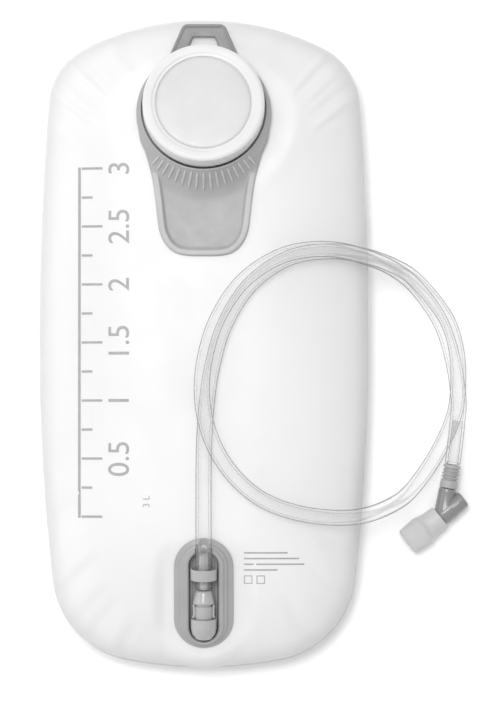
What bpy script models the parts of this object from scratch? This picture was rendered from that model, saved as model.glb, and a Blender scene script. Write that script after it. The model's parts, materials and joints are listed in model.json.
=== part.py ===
"""Hydration bladder: a three-litre soft water bag lying on its back.

A wide screw cap closes the mouth, a soft handle with a hang loop surrounds it, and a
quick-disconnect port near the bottom feeds a clear drinking tube with a twist-lock bite valve.

Frame: origin on the ground under the middle of the bag, +X to the wearer's right as drawn,
+Y towards the hang loop, +Z up through the thickness. Lengths are in metres.
"""

import math

import bmesh
import bpy
from mathutils import Matrix, Vector

MM = 0.001
GAP = 0.3 * MM

# Bag
BAG_HALF_LENGTH = 195 * MM
BAG_HALF_WIDTH = 99.3 * MM
BAG_HEIGHT = 50 * MM
SEAM_HEIGHT = 18 * MM
FILM = 1.0 * MM
TOP_END_RADIUS = 160 * MM
TOP_CORNER_RADIUS = 40 * MM
UPPER_SIDE_RADIUS = 1900 * MM
BOTTOM_END_RADIUS = 250 * MM
BOTTOM_CORNER_RADIUS = 55 * MM
LOWER_SIDE_RADIUS = 1250 * MM
SPINE_SHARE = 0.5
FLAT_BACK_SHARE = 0.75

# Where the welded fittings hold the front film flat, and how far the film blends from there
MOUTH_FLAT_RADIUS = 62 * MM
MOUTH_FLAT_SQUEEZE = 1.2
MOUTH_BLEND = 14 * MM
PORT_FLAT_MARGIN = 5 * MM
PORT_BLEND = 9 * MM

# Mouth: the film under it is tilted a little, the neck leans further back
MOUTH_CENTRE = Vector((0, 136.9, 45.5)) * MM
MOUTH_FILM_TILT = math.radians(6)
NECK_TILT = math.radians(13.5)
NECK_BORE = 28.5 * MM
NECK_RADIUS = 31 * MM
NECK_TOP = 19 * MM
MOUTH_FLANGE_RADIUS = 38 * MM
MOUTH_FLANGE_THICKNESS = 1.6 * MM

# Screw thread of the mouth and cap
THREAD_STARTS = 4
THREAD_LEAD = 16 * MM
THREAD_ROOT = 1.5 * MM
THREAD_TIP = 1.0 * MM
THREAD_HEIGHT = 2 * MM
THREAD_EMBED = 0.6 * MM
THREAD_FIRST_HEIGHT = 11 * MM
NECK_THREAD_SWEEP = math.radians(137)
CAP_THREAD_SWEEP = math.radians(69)

# Cap
CAP_RADIUS = 36.3 * MM
CAP_BORE = 33.8 * MM
CAP_SKIRT_BOTTOM = 9.6 * MM
CAP_CEILING = 20.4 * MM
CAP_TOP = 23 * MM
CAP_DISC_RADIUS = 28.2 * MM
CAP_DISC_THICKNESS = 1.5 * MM

# Handle
HANDLE_HALF_WIDTH = 40.4 * MM
COLLAR_TOP = 9 * MM
COLLAR_RIM_TOP = 9.6 * MM
COLLAR_RIM_RADIUS = 38.2 * MM
COLLAR_RIM_WIDTH = 0.9 * MM
COLLAR_GROOVE_WIDTH = 1.9 * MM
COLLAR_GROOVE_DEPTH = 2.0 * MM
COLLAR_REACH = 38 * MM
SLOPE_RUN = 11.2 * MM
SLOPE_DROP = 14.4 * MM
RIB_COUNT = 17
RIB_FAN = math.radians(84)
RIB_WIDTH = 1.1 * MM
RIB_DEPTH = 1.8 * MM
RIB_START = 1.8 * MM
MIDDLE_RIB_LENGTH = 14.2 * MM
OUTER_RIB_LENGTH = 9 * MM
TAB_THICKNESS = 2.6 * MM
TAB_RECESS = 0.9 * MM
LOOP_THICKNESS = 3.0 * MM

# Port
PORT_CENTRE = Vector((0, -149.4, 44.5)) * MM
PORT_TILT = math.radians(11)
PORT_LENGTH = 66.7 * MM
PORT_WIDTH = 35.4 * MM
POCKET_WIDTH = 17.1 * MM
POCKET_LENGTH = 54.6 * MM
POCKET_FLOOR = -5.0 * MM
POCKET_SHIFT = -1.6 * MM
POCKET_WALL = 1.2 * MM
PORT_RIM = 1.5 * MM
PORT_TOP = 4.2 * MM
DRAIN_OFFSET = -23.8 * MM
PLUG_AXIS_HEIGHT = 3.5 * MM
PLUG_BODY_RADIUS = 5.3 * MM
CHANNEL_START = Vector((0, 20.0, 3.45)) * MM
CHANNEL_RISE = math.radians(13)
CHANNEL_RADIUS = 5.2 * MM

# Drinking tube and mouthpiece
TUBE_RADIUS = 4.75 * MM
TUBE_POINT_SPACING = 17 * MM
SLEEVE_START = Vector((149.8, -73.0, 10.2)) * MM
SLEEVE_DIRECTION = Vector((-0.19, -0.982, -0.071)).normalized()
SLEEVE_LENGTH = 14.4 * MM
BARREL_MOUTH = Vector((142.8, -104.3, 8)) * MM
BARREL_DIRECTION = Vector((-0.79, -0.614, 0)).normalized()
BARREL_LENGTH = 17.6 * MM
BARREL_BORE = 4.7 * MM
INLET_RADIUS = 5.3 * MM
INLET_END = 29.5 * MM
CORE_SIDE_HOLE_DEPTH = 5.6 * MM

# The tube's route: out of the port, up the bag, over its right side on to the ground,
# round to the bag again, over itself, and a second time round to the mouthpiece.
TUBE_ROUTE_MM = [
    (0.0, -147.0, 48.5),
    (0.0, -141.0, 50.0),
    (0.0, -134.5, 52.5),
    (0.0, -127.0, 56.0),
    (0.0, -117.5, 59.6),
    (0.0, -105.0, 61.2),
    (0.0, -91.0, 59.6),
    (0.0, -76.0, 56.6),
    (0.3, -60.0, 55.4),
    (1.7, -38.0, 55.3),
    (5.0, -15.0, 55.3),
    (12.6, 10.5, 55.3),
    (28.0, 34.5, 55.3),
    (51.0, 50.2, 54.2),
    (76.0, 54.3, 48.8),
    (98.5, 51.6, 35.0),
    (117.6, 45.0, 18.5),
    (129.6, 36.6, 9.8),
    (143.5, 20.0, 5.4),
    (150.2, 6.0, 5.1),
    (153.4, -12.0, 5.1),
    (152.9, -34.0, 5.1),
    (149.2, -48.5, 5.1),
    (141.4, -65.0, 5.1),
    (131.0, -81.0, 9.3),
    (118.5, -94.0, 19.5),
    (98.5, -102.8, 37.0),
    (78.0, -104.6, 47.6),
    (54.0, -101.2, 53.4),
    (33.0, -92.6, 55.8),
    (16.5, -77.8, 60.0),
    (5.0, -58.6, 65.4),
    (-0.6, -36.0, 65.4),
    (0.4, -12.0, 64.7),
    (8.4, 14.0, 64.6),
    (24.5, 37.0, 64.8),
    (48.0, 51.6, 64.3),
    (74.0, 55.2, 60.0),
    (98.5, 50.4, 47.4),
    (117.6, 42.0, 30.6),
    (131.0, 30.0, 19.2),
    (143.0, 12.0, 14.6),
    (150.0, -10.0, 14.6),
    (153.4, -34.0, 15.0),
    (152.6, -48.0, 14.6),
    (151.3, -61.0, 12.5),
    (149.98, -72.2, 10.3),
]


def clear_scene():
    for old in list(bpy.data.objects):
        bpy.data.objects.remove(old, do_unlink=True)


def new_collection(name):
    collection = bpy.data.collections.new(name)
    bpy.context.scene.collection.children.link(collection)
    return collection


clear_scene()
PARTS = new_collection("hydration_bladder")
CUTTERS = new_collection("cutters")


def principled(name, colour, roughness, transmission=0.0, alpha=1.0):
    """A plain Principled material for one sub-part."""
    mat = bpy.data.materials.new(name)
    mat.use_nodes = True
    shader = mat.node_tree.nodes["Principled BSDF"]
    shader.inputs["Base Color"].default_value = (*colour, 1)
    shader.inputs["Roughness"].default_value = roughness
    shader.inputs["Metallic"].default_value = 0.0
    shader.inputs["Transmission Weight"].default_value = transmission
    shader.inputs["Alpha"].default_value = alpha
    return mat


# ---------------------------------------------------------------- frames

def tilted_frame(centre, tilt):
    """The world's axes moved to the centre and turned about X."""
    return Matrix.Translation(centre) @ Matrix.Rotation(tilt, 4, "X")


def frame_along(start, direction):
    """Local Z runs along direction, and local X stays level."""
    level = direction.cross(Vector((0, 0, 1))).normalized()
    up = direction.cross(level)
    turn = Matrix((level, up, direction)).transposed()
    return Matrix.Translation(start) @ turn.to_4x4()


NECK = tilted_frame(MOUTH_CENTRE, -NECK_TILT)
MOUTH_FILM = tilted_frame(MOUTH_CENTRE, -MOUTH_FILM_TILT)
PORT = tilted_frame(PORT_CENTRE, PORT_TILT)
POCKET = PORT @ Matrix.Translation((0, POCKET_SHIFT, 0))
PLUG_AXIS = PORT @ Matrix.Translation((0, 0, PLUG_AXIS_HEIGHT))
PLUG = PLUG_AXIS @ Matrix.Rotation(math.radians(-90), 4, "X")
SLEEVE = frame_along(SLEEVE_START, SLEEVE_DIRECTION)
BARREL = frame_along(BARREL_MOUTH, BARREL_DIRECTION)


# ---------------------------------------------------------------- making and joining

def place(name, mesh, frame, mat):
    """A part, when it has a material, or a hidden cutter, when it has none."""
    obj = bpy.data.objects.new(name, mesh)
    obj.matrix_world = frame
    if mat is None:
        CUTTERS.objects.link(obj)
        obj.hide_render = True
        obj.display_type = "WIRE"
    else:
        PARTS.objects.link(obj)
        obj.data.materials.append(mat)
    return obj


def mesh_from(bm, name):
    bmesh.ops.recalc_face_normals(bm, faces=bm.faces)
    mesh = bpy.data.meshes.new(name)
    bm.to_mesh(mesh)
    bm.free()
    return mesh


def smooth(obj, angle=35):
    obj.data.shade_smooth()
    obj.data.set_sharp_from_angle(angle=math.radians(angle))


def turned(name, profile, frame, mat=None, steps=32):
    """Turns (radius, height) points in mm about the frame's Z.

    A profile that starts and ends on the axis makes a solid; any other is closed into a ring.
    """
    mesh = bpy.data.meshes.new(name)
    points = [(r * MM, 0, h * MM) for r, h in profile]
    edges = [(i, i + 1) for i in range(len(points) - 1)]
    if profile[0][0] > 0:
        edges.append((len(points) - 1, 0))
    mesh.from_pydata(points, edges, [])
    obj = place(name, mesh, frame, mat)
    screw = obj.modifiers.new("turn", "SCREW")
    screw.axis = "Z"
    screw.steps = steps
    screw.render_steps = steps
    screw.use_merge_vertices = True
    screw.merge_threshold = 0.00001
    screw.use_smooth_shade = True
    return obj


def prism(name, outline, low, high, frame, mat=None):
    """A flat outline in the frame's XY, from height low to height high, in metres."""
    bm = bmesh.new()
    bottom = bm.faces.new([bm.verts.new((x, y, low)) for x, y in outline])
    top = bmesh.ops.extrude_face_region(bm, geom=[bottom])
    raised = [v for v in top["geom"] if isinstance(v, bmesh.types.BMVert)]
    bmesh.ops.translate(bm, verts=raised, vec=(0, 0, high - low))
    return place(name, mesh_from(bm, name), frame, mat)


def box(name, size, centre, frame, mat=None):
    bm = bmesh.new()
    bmesh.ops.create_cube(bm, size=1)
    bmesh.ops.scale(bm, verts=bm.verts, vec=size)
    bmesh.ops.translate(bm, verts=bm.verts, vec=centre)
    return place(name, mesh_from(bm, name), frame, mat)


def rod(name, radius, low, high, frame, mat=None, sides=24):
    """A cylinder along the frame's Z."""
    bm = bmesh.new()
    bmesh.ops.create_cone(
        bm, cap_ends=True, segments=sides, radius1=radius, radius2=radius, depth=high - low
    )
    bmesh.ops.translate(bm, verts=bm.verts, vec=(0, 0, (low + high) / 2))
    return place(name, mesh_from(bm, name), frame, mat)


def ring_seal(name, ring_radius, wire_radius, height, frame, mat):
    """An O-ring about the frame's Z."""
    sides = 6
    section = []
    for i in range(sides):
        turn = 2 * math.pi * i / sides
        section.append((
            (ring_radius + wire_radius * math.cos(turn)) / MM,
            (height - wire_radius * math.sin(turn)) / MM,
        ))
    return turned(name, section, frame, mat, steps=16)


def combine(obj, other, operation):
    step = obj.modifiers.new(operation.lower(), "BOOLEAN")
    step.operation = operation
    step.object = other
    return obj


def cut(obj, *others):
    for other in others:
        combine(obj, other, "DIFFERENCE")
    return obj


def join(obj, *others):
    for other in others:
        combine(obj, other, "UNION")
    return obj


# ---------------------------------------------------------------- outlines

def arc(centre, radius, start, end, count):
    """Points on an arc in the XY plane, angles in radians, both ends included."""
    points = []
    for i in range(count + 1):
        turn = start + (end - start) * i / count
        points.append((centre[0] + radius * math.cos(turn), centre[1] + radius * math.sin(turn)))
    return points


def stadium(width, length, count=10):
    """Round-ended slot outline along Y."""
    r = width / 2
    straight = length / 2 - r
    upper = arc((0, straight), r, 0, math.pi, count)
    lower = arc((0, -straight), r, math.pi, 2 * math.pi, count)
    return upper + lower


def rounded_polygon(corners, count=5):
    """A closed outline whose corners (x, y, radius), in mm, are arcs."""
    points = []
    total = len(corners)
    for i, (x, y, radius) in enumerate(corners):
        here = Vector((x, y)) * MM
        before = (Vector(corners[i - 1][:2]) * MM - here).normalized()
        after = (Vector(corners[(i + 1) % total][:2]) * MM - here).normalized()
        half = before.angle(after) / 2
        centre = here + (before + after).normalized() * radius * MM / math.sin(half)
        first = here + before * radius * MM / math.tan(half) - centre
        last = here + after * radius * MM / math.tan(half) - centre
        for step in range(count + 1):
            leg = first.lerp(last, step / count).normalized()
            points.append(tuple(centre + leg * radius * MM))
    return points


def bag_corner(end_radius, corner_radius, side_radius):
    """Centre of a corner arc that touches the bowed side and the bowed end, for y > 0."""
    end_y = BAG_HALF_LENGTH - end_radius
    side_x = BAG_HALF_WIDTH - side_radius
    to_end = end_radius - corner_radius
    to_side = side_radius - corner_radius
    apart = math.hypot(side_x, end_y)
    along = (to_side ** 2 - to_end ** 2 + apart ** 2) / (2 * apart)
    away = math.sqrt(to_side ** 2 - along ** 2)
    ux, uy = -side_x / apart, end_y / apart
    first = (side_x + ux * along - uy * away, uy * along + ux * away)
    second = (side_x + ux * along + uy * away, uy * along - ux * away)
    return max(first, second, key=lambda point: point[1])


def bag_quarter(end_radius, corner_radius, side_radius):
    """Outline from the middle of the end to the middle of the side, for x, y > 0."""
    end_y = BAG_HALF_LENGTH - end_radius
    side_x = BAG_HALF_WIDTH - side_radius
    cx, cy = bag_corner(end_radius, corner_radius, side_radius)
    end_turn = math.atan2(cy - end_y, cx)
    side_turn = math.atan2(cy, cx - side_x)
    end_arc = arc((0, end_y), end_radius, math.pi / 2, end_turn, 4)
    corner = arc((cx, cy), corner_radius, end_turn, side_turn, 5)
    side = arc((side_x, 0), side_radius, side_turn, 0, 3)
    return end_arc + corner[1:] + side[1:]


def bag_outline():
    """The whole outline, clockwise from the middle of the top end."""
    upper = bag_quarter(TOP_END_RADIUS, TOP_CORNER_RADIUS, UPPER_SIDE_RADIUS)
    lower = bag_quarter(BOTTOM_END_RADIUS, BOTTOM_CORNER_RADIUS, LOWER_SIDE_RADIUS)
    right = upper + [(x, -y) for x, y in reversed(lower)][1:]
    left = [(-x, y) for x, y in reversed(right)][1:-1]
    return right + left


# ---------------------------------------------------------------- the bag's film

def ease(value):
    value = min(1, max(0, value))
    return value * value * (3 - 2 * value)


def mouth_plane(y):
    """Height of the flat film under the mouth."""
    return MOUTH_CENTRE.z - (y - MOUTH_CENTRE.y) * math.tan(MOUTH_FILM_TILT)


def port_plane(y):
    """Height of the flat film under the port."""
    return PORT_CENTRE.z + (y - PORT_CENTRE.y) * math.tan(PORT_TILT)


def flattened(x, y, height):
    """The front's height where the welded mouth and port hold the film flat."""
    along = y - MOUTH_CENTRE.y
    if along > 0:
        along *= MOUTH_FLAT_SQUEEZE
    hold = ease((MOUTH_FLAT_RADIUS - Vector((x, along)).length) / MOUTH_BLEND)
    height += (mouth_plane(y) - height) * hold
    reach = max(0, abs(y - PORT_CENTRE.y) - (PORT_LENGTH - PORT_WIDTH) / 2)
    past_plate = Vector((x, reach)).length - PORT_WIDTH / 2
    hold = ease(1 - (past_plate - PORT_FLAT_MARGIN) / PORT_BLEND)
    return min(BAG_HEIGHT, height + (port_plane(y) - height) * hold)


def film_sheet(name, rings, mat):
    """Rings scaled from the outline to the bag's spine, as an open sheet, thickened inwards."""
    outline = bag_outline()
    bm = bmesh.new()
    rows = []
    for share, level in rings:
        row = []
        for x, y in outline:
            px = x * share
            py = y * (SPINE_SHARE + (1 - SPINE_SHARE) * share)
            height = level(px, py) if callable(level) else level
            row.append(bm.verts.new((px, py, height)))
        rows.append(row)
    count = len(outline)
    for inner, outer in zip(rows, rows[1:]):
        for i in range(count):
            j = (i + 1) % count
            bm.faces.new((inner[i], inner[j], outer[j], outer[i]))
    bmesh.ops.remove_doubles(bm, verts=bm.verts, dist=0.01 * MM)
    mesh = mesh_from(bm, name)
    obj = place(name, mesh, Matrix.Identity(4), mat)
    shell = obj.modifiers.new("film", "SOLIDIFY")
    shell.thickness = FILM
    shell.offset = -1
    shell.use_even_offset = True
    smooth(obj)
    return obj


def front_rings(count=10):
    """Shares of the outline and heights on the pillow's curve, from the spine to the seam."""
    rise = BAG_HEIGHT - SEAM_HEIGHT
    rings = []
    for i in range(count + 1):
        turn = math.pi / 2 * i / count
        share = math.sin(turn) ** (2 / 3)
        natural = SEAM_HEIGHT + GAP + rise * math.cos(turn)
        rings.append((share, lambda x, y, h=natural: flattened(x, y, h)))
    rings[-1] = (1.0, SEAM_HEIGHT + GAP)
    return rings


def back_rings(count=5):
    """A flat resting patch, then a quarter curve up to the seam."""
    low = SEAM_HEIGHT - GAP
    rings = [(0.0, 0.0), (FLAT_BACK_SHARE / 2, 0.0)]
    for i in range(count + 1):
        turn = math.pi / 2 * i / count
        share = FLAT_BACK_SHARE + (1 - FLAT_BACK_SHARE) * math.sin(turn)
        rings.append((share, low * (1 - math.cos(turn))))
    return rings


def make_bag(mat):
    """Two film panels that meet at the welded seam, the front one cut for the mouth and port."""
    front = film_sheet("bag_front_film", front_rings(), mat)
    depth = 30 * MM
    mouth_hole = rod("mouth_hole", NECK_RADIUS + GAP, -depth, depth, NECK, sides=48)
    around_tub = 2 * (POCKET_WALL + GAP)
    tub = stadium(POCKET_WIDTH + around_tub, POCKET_LENGTH + around_tub)
    port_hole = prism("port_hole", tub, -depth, depth, POCKET)
    cut(front, mouth_hole, port_hole)
    film_sheet("bag_back_film", back_rings(), mat)


# ---------------------------------------------------------------- mouth and cap

def thread_ridges(name, wall, tip, phase, sweep, steps):
    """Helical ridges, one for each start, from inside the wall to the tip radius."""
    bm = bmesh.new()
    root = THREAD_ROOT / 2
    crest = THREAD_TIP / 2
    for start in range(THREAD_STARTS):
        base = 2 * math.pi * start / THREAD_STARTS
        previous = None
        for i in range(steps + 1):
            turn = sweep * i / steps
            rise = THREAD_FIRST_HEIGHT + THREAD_LEAD * turn / (2 * math.pi)
            angle = base + turn + phase
            ring = []
            for radius, offset in ((wall, -root), (wall, root), (tip, crest), (tip, -crest)):
                ring.append(bm.verts.new((
                    radius * math.cos(angle), radius * math.sin(angle), rise + offset
                )))
            if previous is None:
                bm.faces.new(ring)
            else:
                for k in range(4):
                    n = (k + 1) % 4
                    bm.faces.new((previous[k], previous[n], ring[n], ring[k]))
            previous = ring
        bm.faces.new(previous)
    return place(name, mesh_from(bm, name), NECK, None)


def below_film(name, top):
    """A cutter for everything lower than top over the mouth's film plane."""
    depth = 50 * MM
    return box(name, (200 * MM, 200 * MM, depth), (0, 0, top - depth / 2), MOUTH_FILM)


def make_mouth_ring(mat):
    """Rigid threaded neck with a flange welded inside the front film."""
    lip = NECK_TOP / MM
    bore = NECK_BORE / MM
    wall = NECK_RADIUS / MM
    neck = [(wall - 0.5, lip), (wall, lip - 0.5), (wall, -16), (bore, -16), (bore, lip)]
    ring = turned("mouth_ring", neck, NECK, mat, steps=40)
    cut(ring, below_film("mouth_underside", -3 * MM))
    top = -FILM - 3 * GAP
    outer = MOUTH_FLANGE_RADIUS / MM
    low = (top - MOUTH_FLANGE_THICKNESS) / MM
    flange_profile = [(outer, top / MM), (outer, low), (bore + 1, low), (bore + 1, top / MM)]
    flange = turned("mouth_flange", flange_profile, MOUTH_FILM, steps=40)
    inside = NECK_RADIUS - THREAD_EMBED
    tip = NECK_RADIUS + THREAD_HEIGHT
    ridges = thread_ridges("mouth_thread", inside, tip, 0, NECK_THREAD_SWEEP, 12)
    join(ring, flange, ridges)


def make_cap(shell_mat, disc_mat, seal_mat):
    """Cap shell with its thread and plug ring, the disc set in its top, and the flat seal."""
    outer = CAP_RADIUS / MM
    bore = CAP_BORE / MM
    skirt = CAP_SKIRT_BOTTOM / MM
    ceiling = CAP_CEILING / MM
    top = CAP_TOP / MM
    disc = CAP_DISC_RADIUS / MM
    disc_low = (CAP_TOP - CAP_DISC_THICKNESS) / MM
    gap = GAP / MM
    shell_profile = [
        (disc + 1.4, top), (outer - 0.9, top), (outer, top - 0.9), (outer, skirt + 0.6),
        (outer - 0.6, skirt), (bore, skirt), (bore, ceiling), (27.1, ceiling), (27.1, 17.0),
        (25.4, 17.0), (25.4, disc_low - gap), (disc + gap, disc_low - gap), (disc + gap, top - 0.6),
    ]
    shell = turned("cap_shell", shell_profile, NECK, shell_mat, steps=48)
    half_pitch = math.pi / THREAD_STARTS
    inside = CAP_BORE + THREAD_EMBED
    tip = CAP_BORE - THREAD_HEIGHT - 0.2 * MM
    join(shell, thread_ridges("cap_thread", inside, tip, half_pitch, CAP_THREAD_SWEEP, 6))
    disc_profile = [
        (0, top), (12, top - 0.14), (22, top - 0.5), (disc - 0.6, top - 0.9), (disc, top - 1.2),
        (disc, disc_low), (0, disc_low),
    ]
    turned("cap_disc", disc_profile, NECK, disc_mat, steps=40)
    seal_low = NECK_TOP / MM + gap
    seal_top = ceiling - gap
    seal_profile = [(31.4, seal_top), (31.4, seal_low), (27.5, seal_low), (27.5, seal_top)]
    turned("cap_seal", seal_profile, NECK, seal_mat, steps=36)


# ---------------------------------------------------------------- handle

def collar_outline():
    """Plan of the collar and the slope below it, round over the top and waisted at the bottom."""
    top_arc = []
    steps = 18
    for i in range(steps + 1):
        turn = math.pi * i / steps
        across = HANDLE_HALF_WIDTH * math.cos(turn)
        top_arc.append((across, MOUTH_CENTRE.y + COLLAR_REACH * math.sin(turn)))
    left = [(-39.6, 128), (-38.2, 119.7), (-34.3, 112), (-33.2, 105), (-31, 92), (-30.4, 86)]
    left = [(x * MM, y * MM) for x, y in left]
    right = [(-x, y) for x, y in reversed(left)]
    return top_arc + left + right


def mirrored(corners):
    """Adds the left half to corners (x, y, radius) listed from top to bottom on the right."""
    left = [(-x, y, radius) for x, y, radius in reversed(corners)]
    return corners + left


def make_handle(mat):
    """Collar grooved round the cap, ribbed slope, grip tab and hang loop, moulded in one piece."""
    rim = COLLAR_RIM_RADIUS / MM
    rim_top = COLLAR_RIM_TOP / MM
    rim_inside = rim - COLLAR_RIM_WIDTH / MM
    ledge = rim_inside - COLLAR_GROOVE_WIDTH / MM
    high = COLLAR_TOP / MM
    groove = high - COLLAR_GROOVE_DEPTH / MM
    bore = NECK_RADIUS / MM - 1
    foot = rim + SLOPE_RUN / MM
    slope_profile = [
        (rim_inside, rim_top), (rim - 0.3, rim_top), (rim, rim_top - 0.3),
        (foot, rim_top - 0.3 - SLOPE_DROP / MM), (foot, -18), (bore, -18), (bore, high),
        (ledge, high), (ledge, groove), (rim_inside, groove),
    ]
    handle = turned("handle", slope_profile, NECK, mat, steps=64)
    world = Matrix.Identity(4)
    above = 90 * MM
    combine(handle, prism("handle_plan", collar_outline(), 30 * MM, above, world), "INTERSECT")
    cut(handle, below_film("handle_underside", GAP))

    tab_low = BAG_HEIGHT + GAP
    tab_top = tab_low + TAB_THICKNESS
    tab_corners = mirrored([(31.5, 98, 1), (28.6, 84, 20), (25.2, 51.6, 14)])
    tab = prism("grip_tab", rounded_polygon(tab_corners, 4), tab_low, tab_top, world)
    join(handle, tab, hang_loop())

    recess_corners = mirrored([(24.5, 84, 4), (21.2, 56.0, 10)])
    recess_plan = rounded_polygon(recess_corners, 4)
    recess = prism("grip_recess", recess_plan, tab_top - TAB_RECESS, above, world)
    hole_corners = mirrored([(6.8, 182.4, 1.4), (8.9, 176.4, 1)])
    hook_hole = prism("hook_hole", rounded_polygon(hole_corners, 2), 0, above, world)
    depth = 30 * MM
    collar_bore = rod("handle_bore", NECK_RADIUS + GAP, -depth, depth, NECK, sides=64)
    cut(handle, recess, hook_hole, collar_bore)
    join(handle, handle_ribs())


def hang_loop():
    """Flat loop past the top of the collar, lying along the film."""
    corners = mirrored([(12.4, 190.6, 4), (20.0, 173, 1), (24, 165, 1)])
    to_film = MOUTH_FILM.inverted()
    outline = []
    for x, y in rounded_polygon(corners, 3):
        local = to_film @ Vector((x, y, mouth_plane(y)))
        outline.append((local.x, local.y))
    return prism("hang_loop", outline, 2 * GAP, LOOP_THICKNESS, MOUTH_FILM)


def handle_ribs():
    """A fan of thin ribs down the slope under the mouth."""
    bm = bmesh.new()
    slope = math.atan2(SLOPE_DROP, SLOPE_RUN)
    tip = Matrix.Translation((COLLAR_RIM_RADIUS, 0, COLLAR_RIM_TOP - 0.3 * MM))
    for i in range(RIB_COUNT):
        place_in_fan = i / (RIB_COUNT - 1) - 0.5
        from_middle = 2 * abs(place_in_fan)
        length = MIDDLE_RIB_LENGTH + (OUTER_RIB_LENGTH - MIDDLE_RIB_LENGTH) * from_middle
        made = bmesh.ops.create_cube(bm, size=1)["verts"]
        bmesh.ops.scale(bm, verts=made, vec=(length, RIB_WIDTH, RIB_DEPTH))
        bmesh.ops.translate(bm, verts=made, vec=(RIB_START + length / 2, 0, 0))
        turn = -math.pi / 2 + RIB_FAN * place_in_fan
        move = Matrix.Rotation(turn, 4, "Z") @ tip @ Matrix.Rotation(slope, 4, "Y")
        bmesh.ops.transform(bm, verts=made, matrix=move)
    return place("slope_ribs", mesh_from(bm, "slope_ribs"), NECK, None)


# ---------------------------------------------------------------- port

def make_port(flange_mat, body_mat):
    """The welded soft plate with its sunk pocket, and the rigid insert that holds the plug."""
    plate = stadium(PORT_WIDTH, PORT_LENGTH)
    flange = prism("port_flange", plate, GAP, PORT_RIM, PORT, flange_mat)
    step = prism("port_step", stadium(27.4 * MM, 58.7 * MM), 1.0 * MM, 2.8 * MM, PORT)
    crown = prism("port_crown", stadium(23.0 * MM, 58.2 * MM), 2.0 * MM, PORT_TOP, PORT)
    tub_plan = stadium(POCKET_WIDTH + 2 * POCKET_WALL, POCKET_LENGTH + 2 * POCKET_WALL)
    tub_low = POCKET_FLOOR - 1.1 * MM
    tub = prism("port_tub", tub_plan, tub_low, 1.0 * MM, POCKET)
    above = 20 * MM
    pocket_plan = stadium(POCKET_WIDTH, POCKET_LENGTH)
    pocket = prism("port_pocket", pocket_plan, POCKET_FLOOR, above, POCKET)
    channel_frame = PORT @ Matrix.Translation(CHANNEL_START)
    channel_frame = channel_frame @ Matrix.Rotation(math.radians(-90) + CHANNEL_RISE, 4, "X")
    channel = rod("tube_channel", CHANNEL_RADIUS, 0, 40 * MM, channel_frame, sides=32)
    drain_frame = PORT @ Matrix.Translation((0, DRAIN_OFFSET, 0))
    drain = rod("flange_drain", 2.2 * MM, -above, 0, drain_frame, sides=12)
    join(flange, step, crown, tub)
    cut(flange, pocket, channel, drain)

    cup_profile = [
        (0, -14.9), (7.6, -14.9), (7.75, -15.4), (7.75, -20.6), (7.2, -23.4), (5.8, -26.0),
        (3.4, -27.6), (0, -28.2),
    ]
    body = turned("port_body", cup_profile, PLUG, body_mat, steps=32)
    cradle = stadium(POCKET_WIDTH - 2 * GAP, POCKET_LENGTH - 2 * GAP)
    floor_low = POCKET_FLOOR + GAP
    floor = prism("cradle_floor", cradle, floor_low, floor_low + 1 * MM, POCKET)
    bridge_profile = [(7.9, 15.6), (7.9, 8.2), (6.95, 8.2), (6.95, 15.6)]
    bridge = turned("bridge", bridge_profile, PLUG, steps=32)
    join(body, floor, bridge)
    cut(
        body,
        rod("plug_bore", PLUG_BODY_RADIUS, -19.6 * MM, -14 * MM, PLUG),
        rod("seat_hole", 3.0 * MM, -22 * MM, -19 * MM, PLUG),
        rod("valve_chamber", 4.5 * MM, -26.0 * MM, -20.4 * MM, PLUG),
        rod("body_drain", 1.6 * MM, -above, PLUG_AXIS_HEIGHT, drain_frame, sides=12),
    )


def make_poppet(poppet_mat, seal_mat, spring_mat):
    """Spring-loaded shut-off, held off its seat by the plug's nose."""
    profile = [
        (0, -19.3), (1.2, -19.3), (1.2, -22.6), (3.9, -22.6), (3.9, -23.4), (1.6, -23.4),
        (1.6, -24.4), (0, -24.4),
    ]
    turned("valve_poppet", profile, PLUG, poppet_mat, steps=20)
    seal = [(3.6, -21.8), (3.6, -22.3), (1.5, -22.3), (1.5, -21.8)]
    turned("poppet_seal", seal, PLUG, seal_mat, steps=20)
    turns = 2.5
    steps = 25
    coil_radius = 2.8 * MM
    wire_radius = 0.25 * MM
    low = -25.3 * MM
    high = -24.0 * MM
    points = []
    for i in range(steps + 1):
        turn = 2 * math.pi * turns * i / steps
        height = low + (high - low) * i / steps
        points.append((coil_radius * math.cos(turn), coil_radius * math.sin(turn), height))
    wire("poppet_spring", points, wire_radius, PLUG, spring_mat, 1)


def make_plug(mat, seal_mat):
    """Nose with an O-ring, body with two latch arms, and a flared collar; bored for water."""
    flow = 2.3
    body = PLUG_BODY_RADIUS / MM
    profile = [
        (3.6, 2.4), (4.9, 2.4), (5.5, 0.4), (6.5, -4.6), (6.5, -5.6), (4.4, -5.6), (4.4, -6.8),
        (body, -6.8), (body, -14.6), (4.9, -14.6), (4.9, -15.4), (3.9, -15.4), (3.9, -17.2),
        (4.9, -17.2), (4.7, -19.0), (flow, -19.0), (flow, 2.4),
    ]
    plug = turned("hose_plug", profile, PLUG, mat, steps=24)
    arm_size = Vector((1.4, 3.2, 9.0)) * MM
    for side in (-1, 1):
        arm_centre = Vector((side * 5.6, 0, -10.1)) * MM
        join(plug, box("latch_arm", arm_size, arm_centre, PLUG))
    ring_seal("plug_o_ring", 4.45 * MM, 0.45 * MM, -16.3 * MM, PLUG, seal_mat)


# ---------------------------------------------------------------- tube

def wire(name, points, radius, frame, mat, resolution):
    """A round wire or tube along the points."""
    curve = bpy.data.curves.new(name, "CURVE")
    curve.dimensions = "3D"
    curve.bevel_depth = radius
    curve.bevel_resolution = resolution
    curve.use_fill_caps = True
    spline = curve.splines.new("POLY")
    spline.points.add(len(points) - 1)
    for point, spot in zip(spline.points, points):
        point.co = (*spot, 1)
    return place(name, curve, frame, mat)


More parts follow.
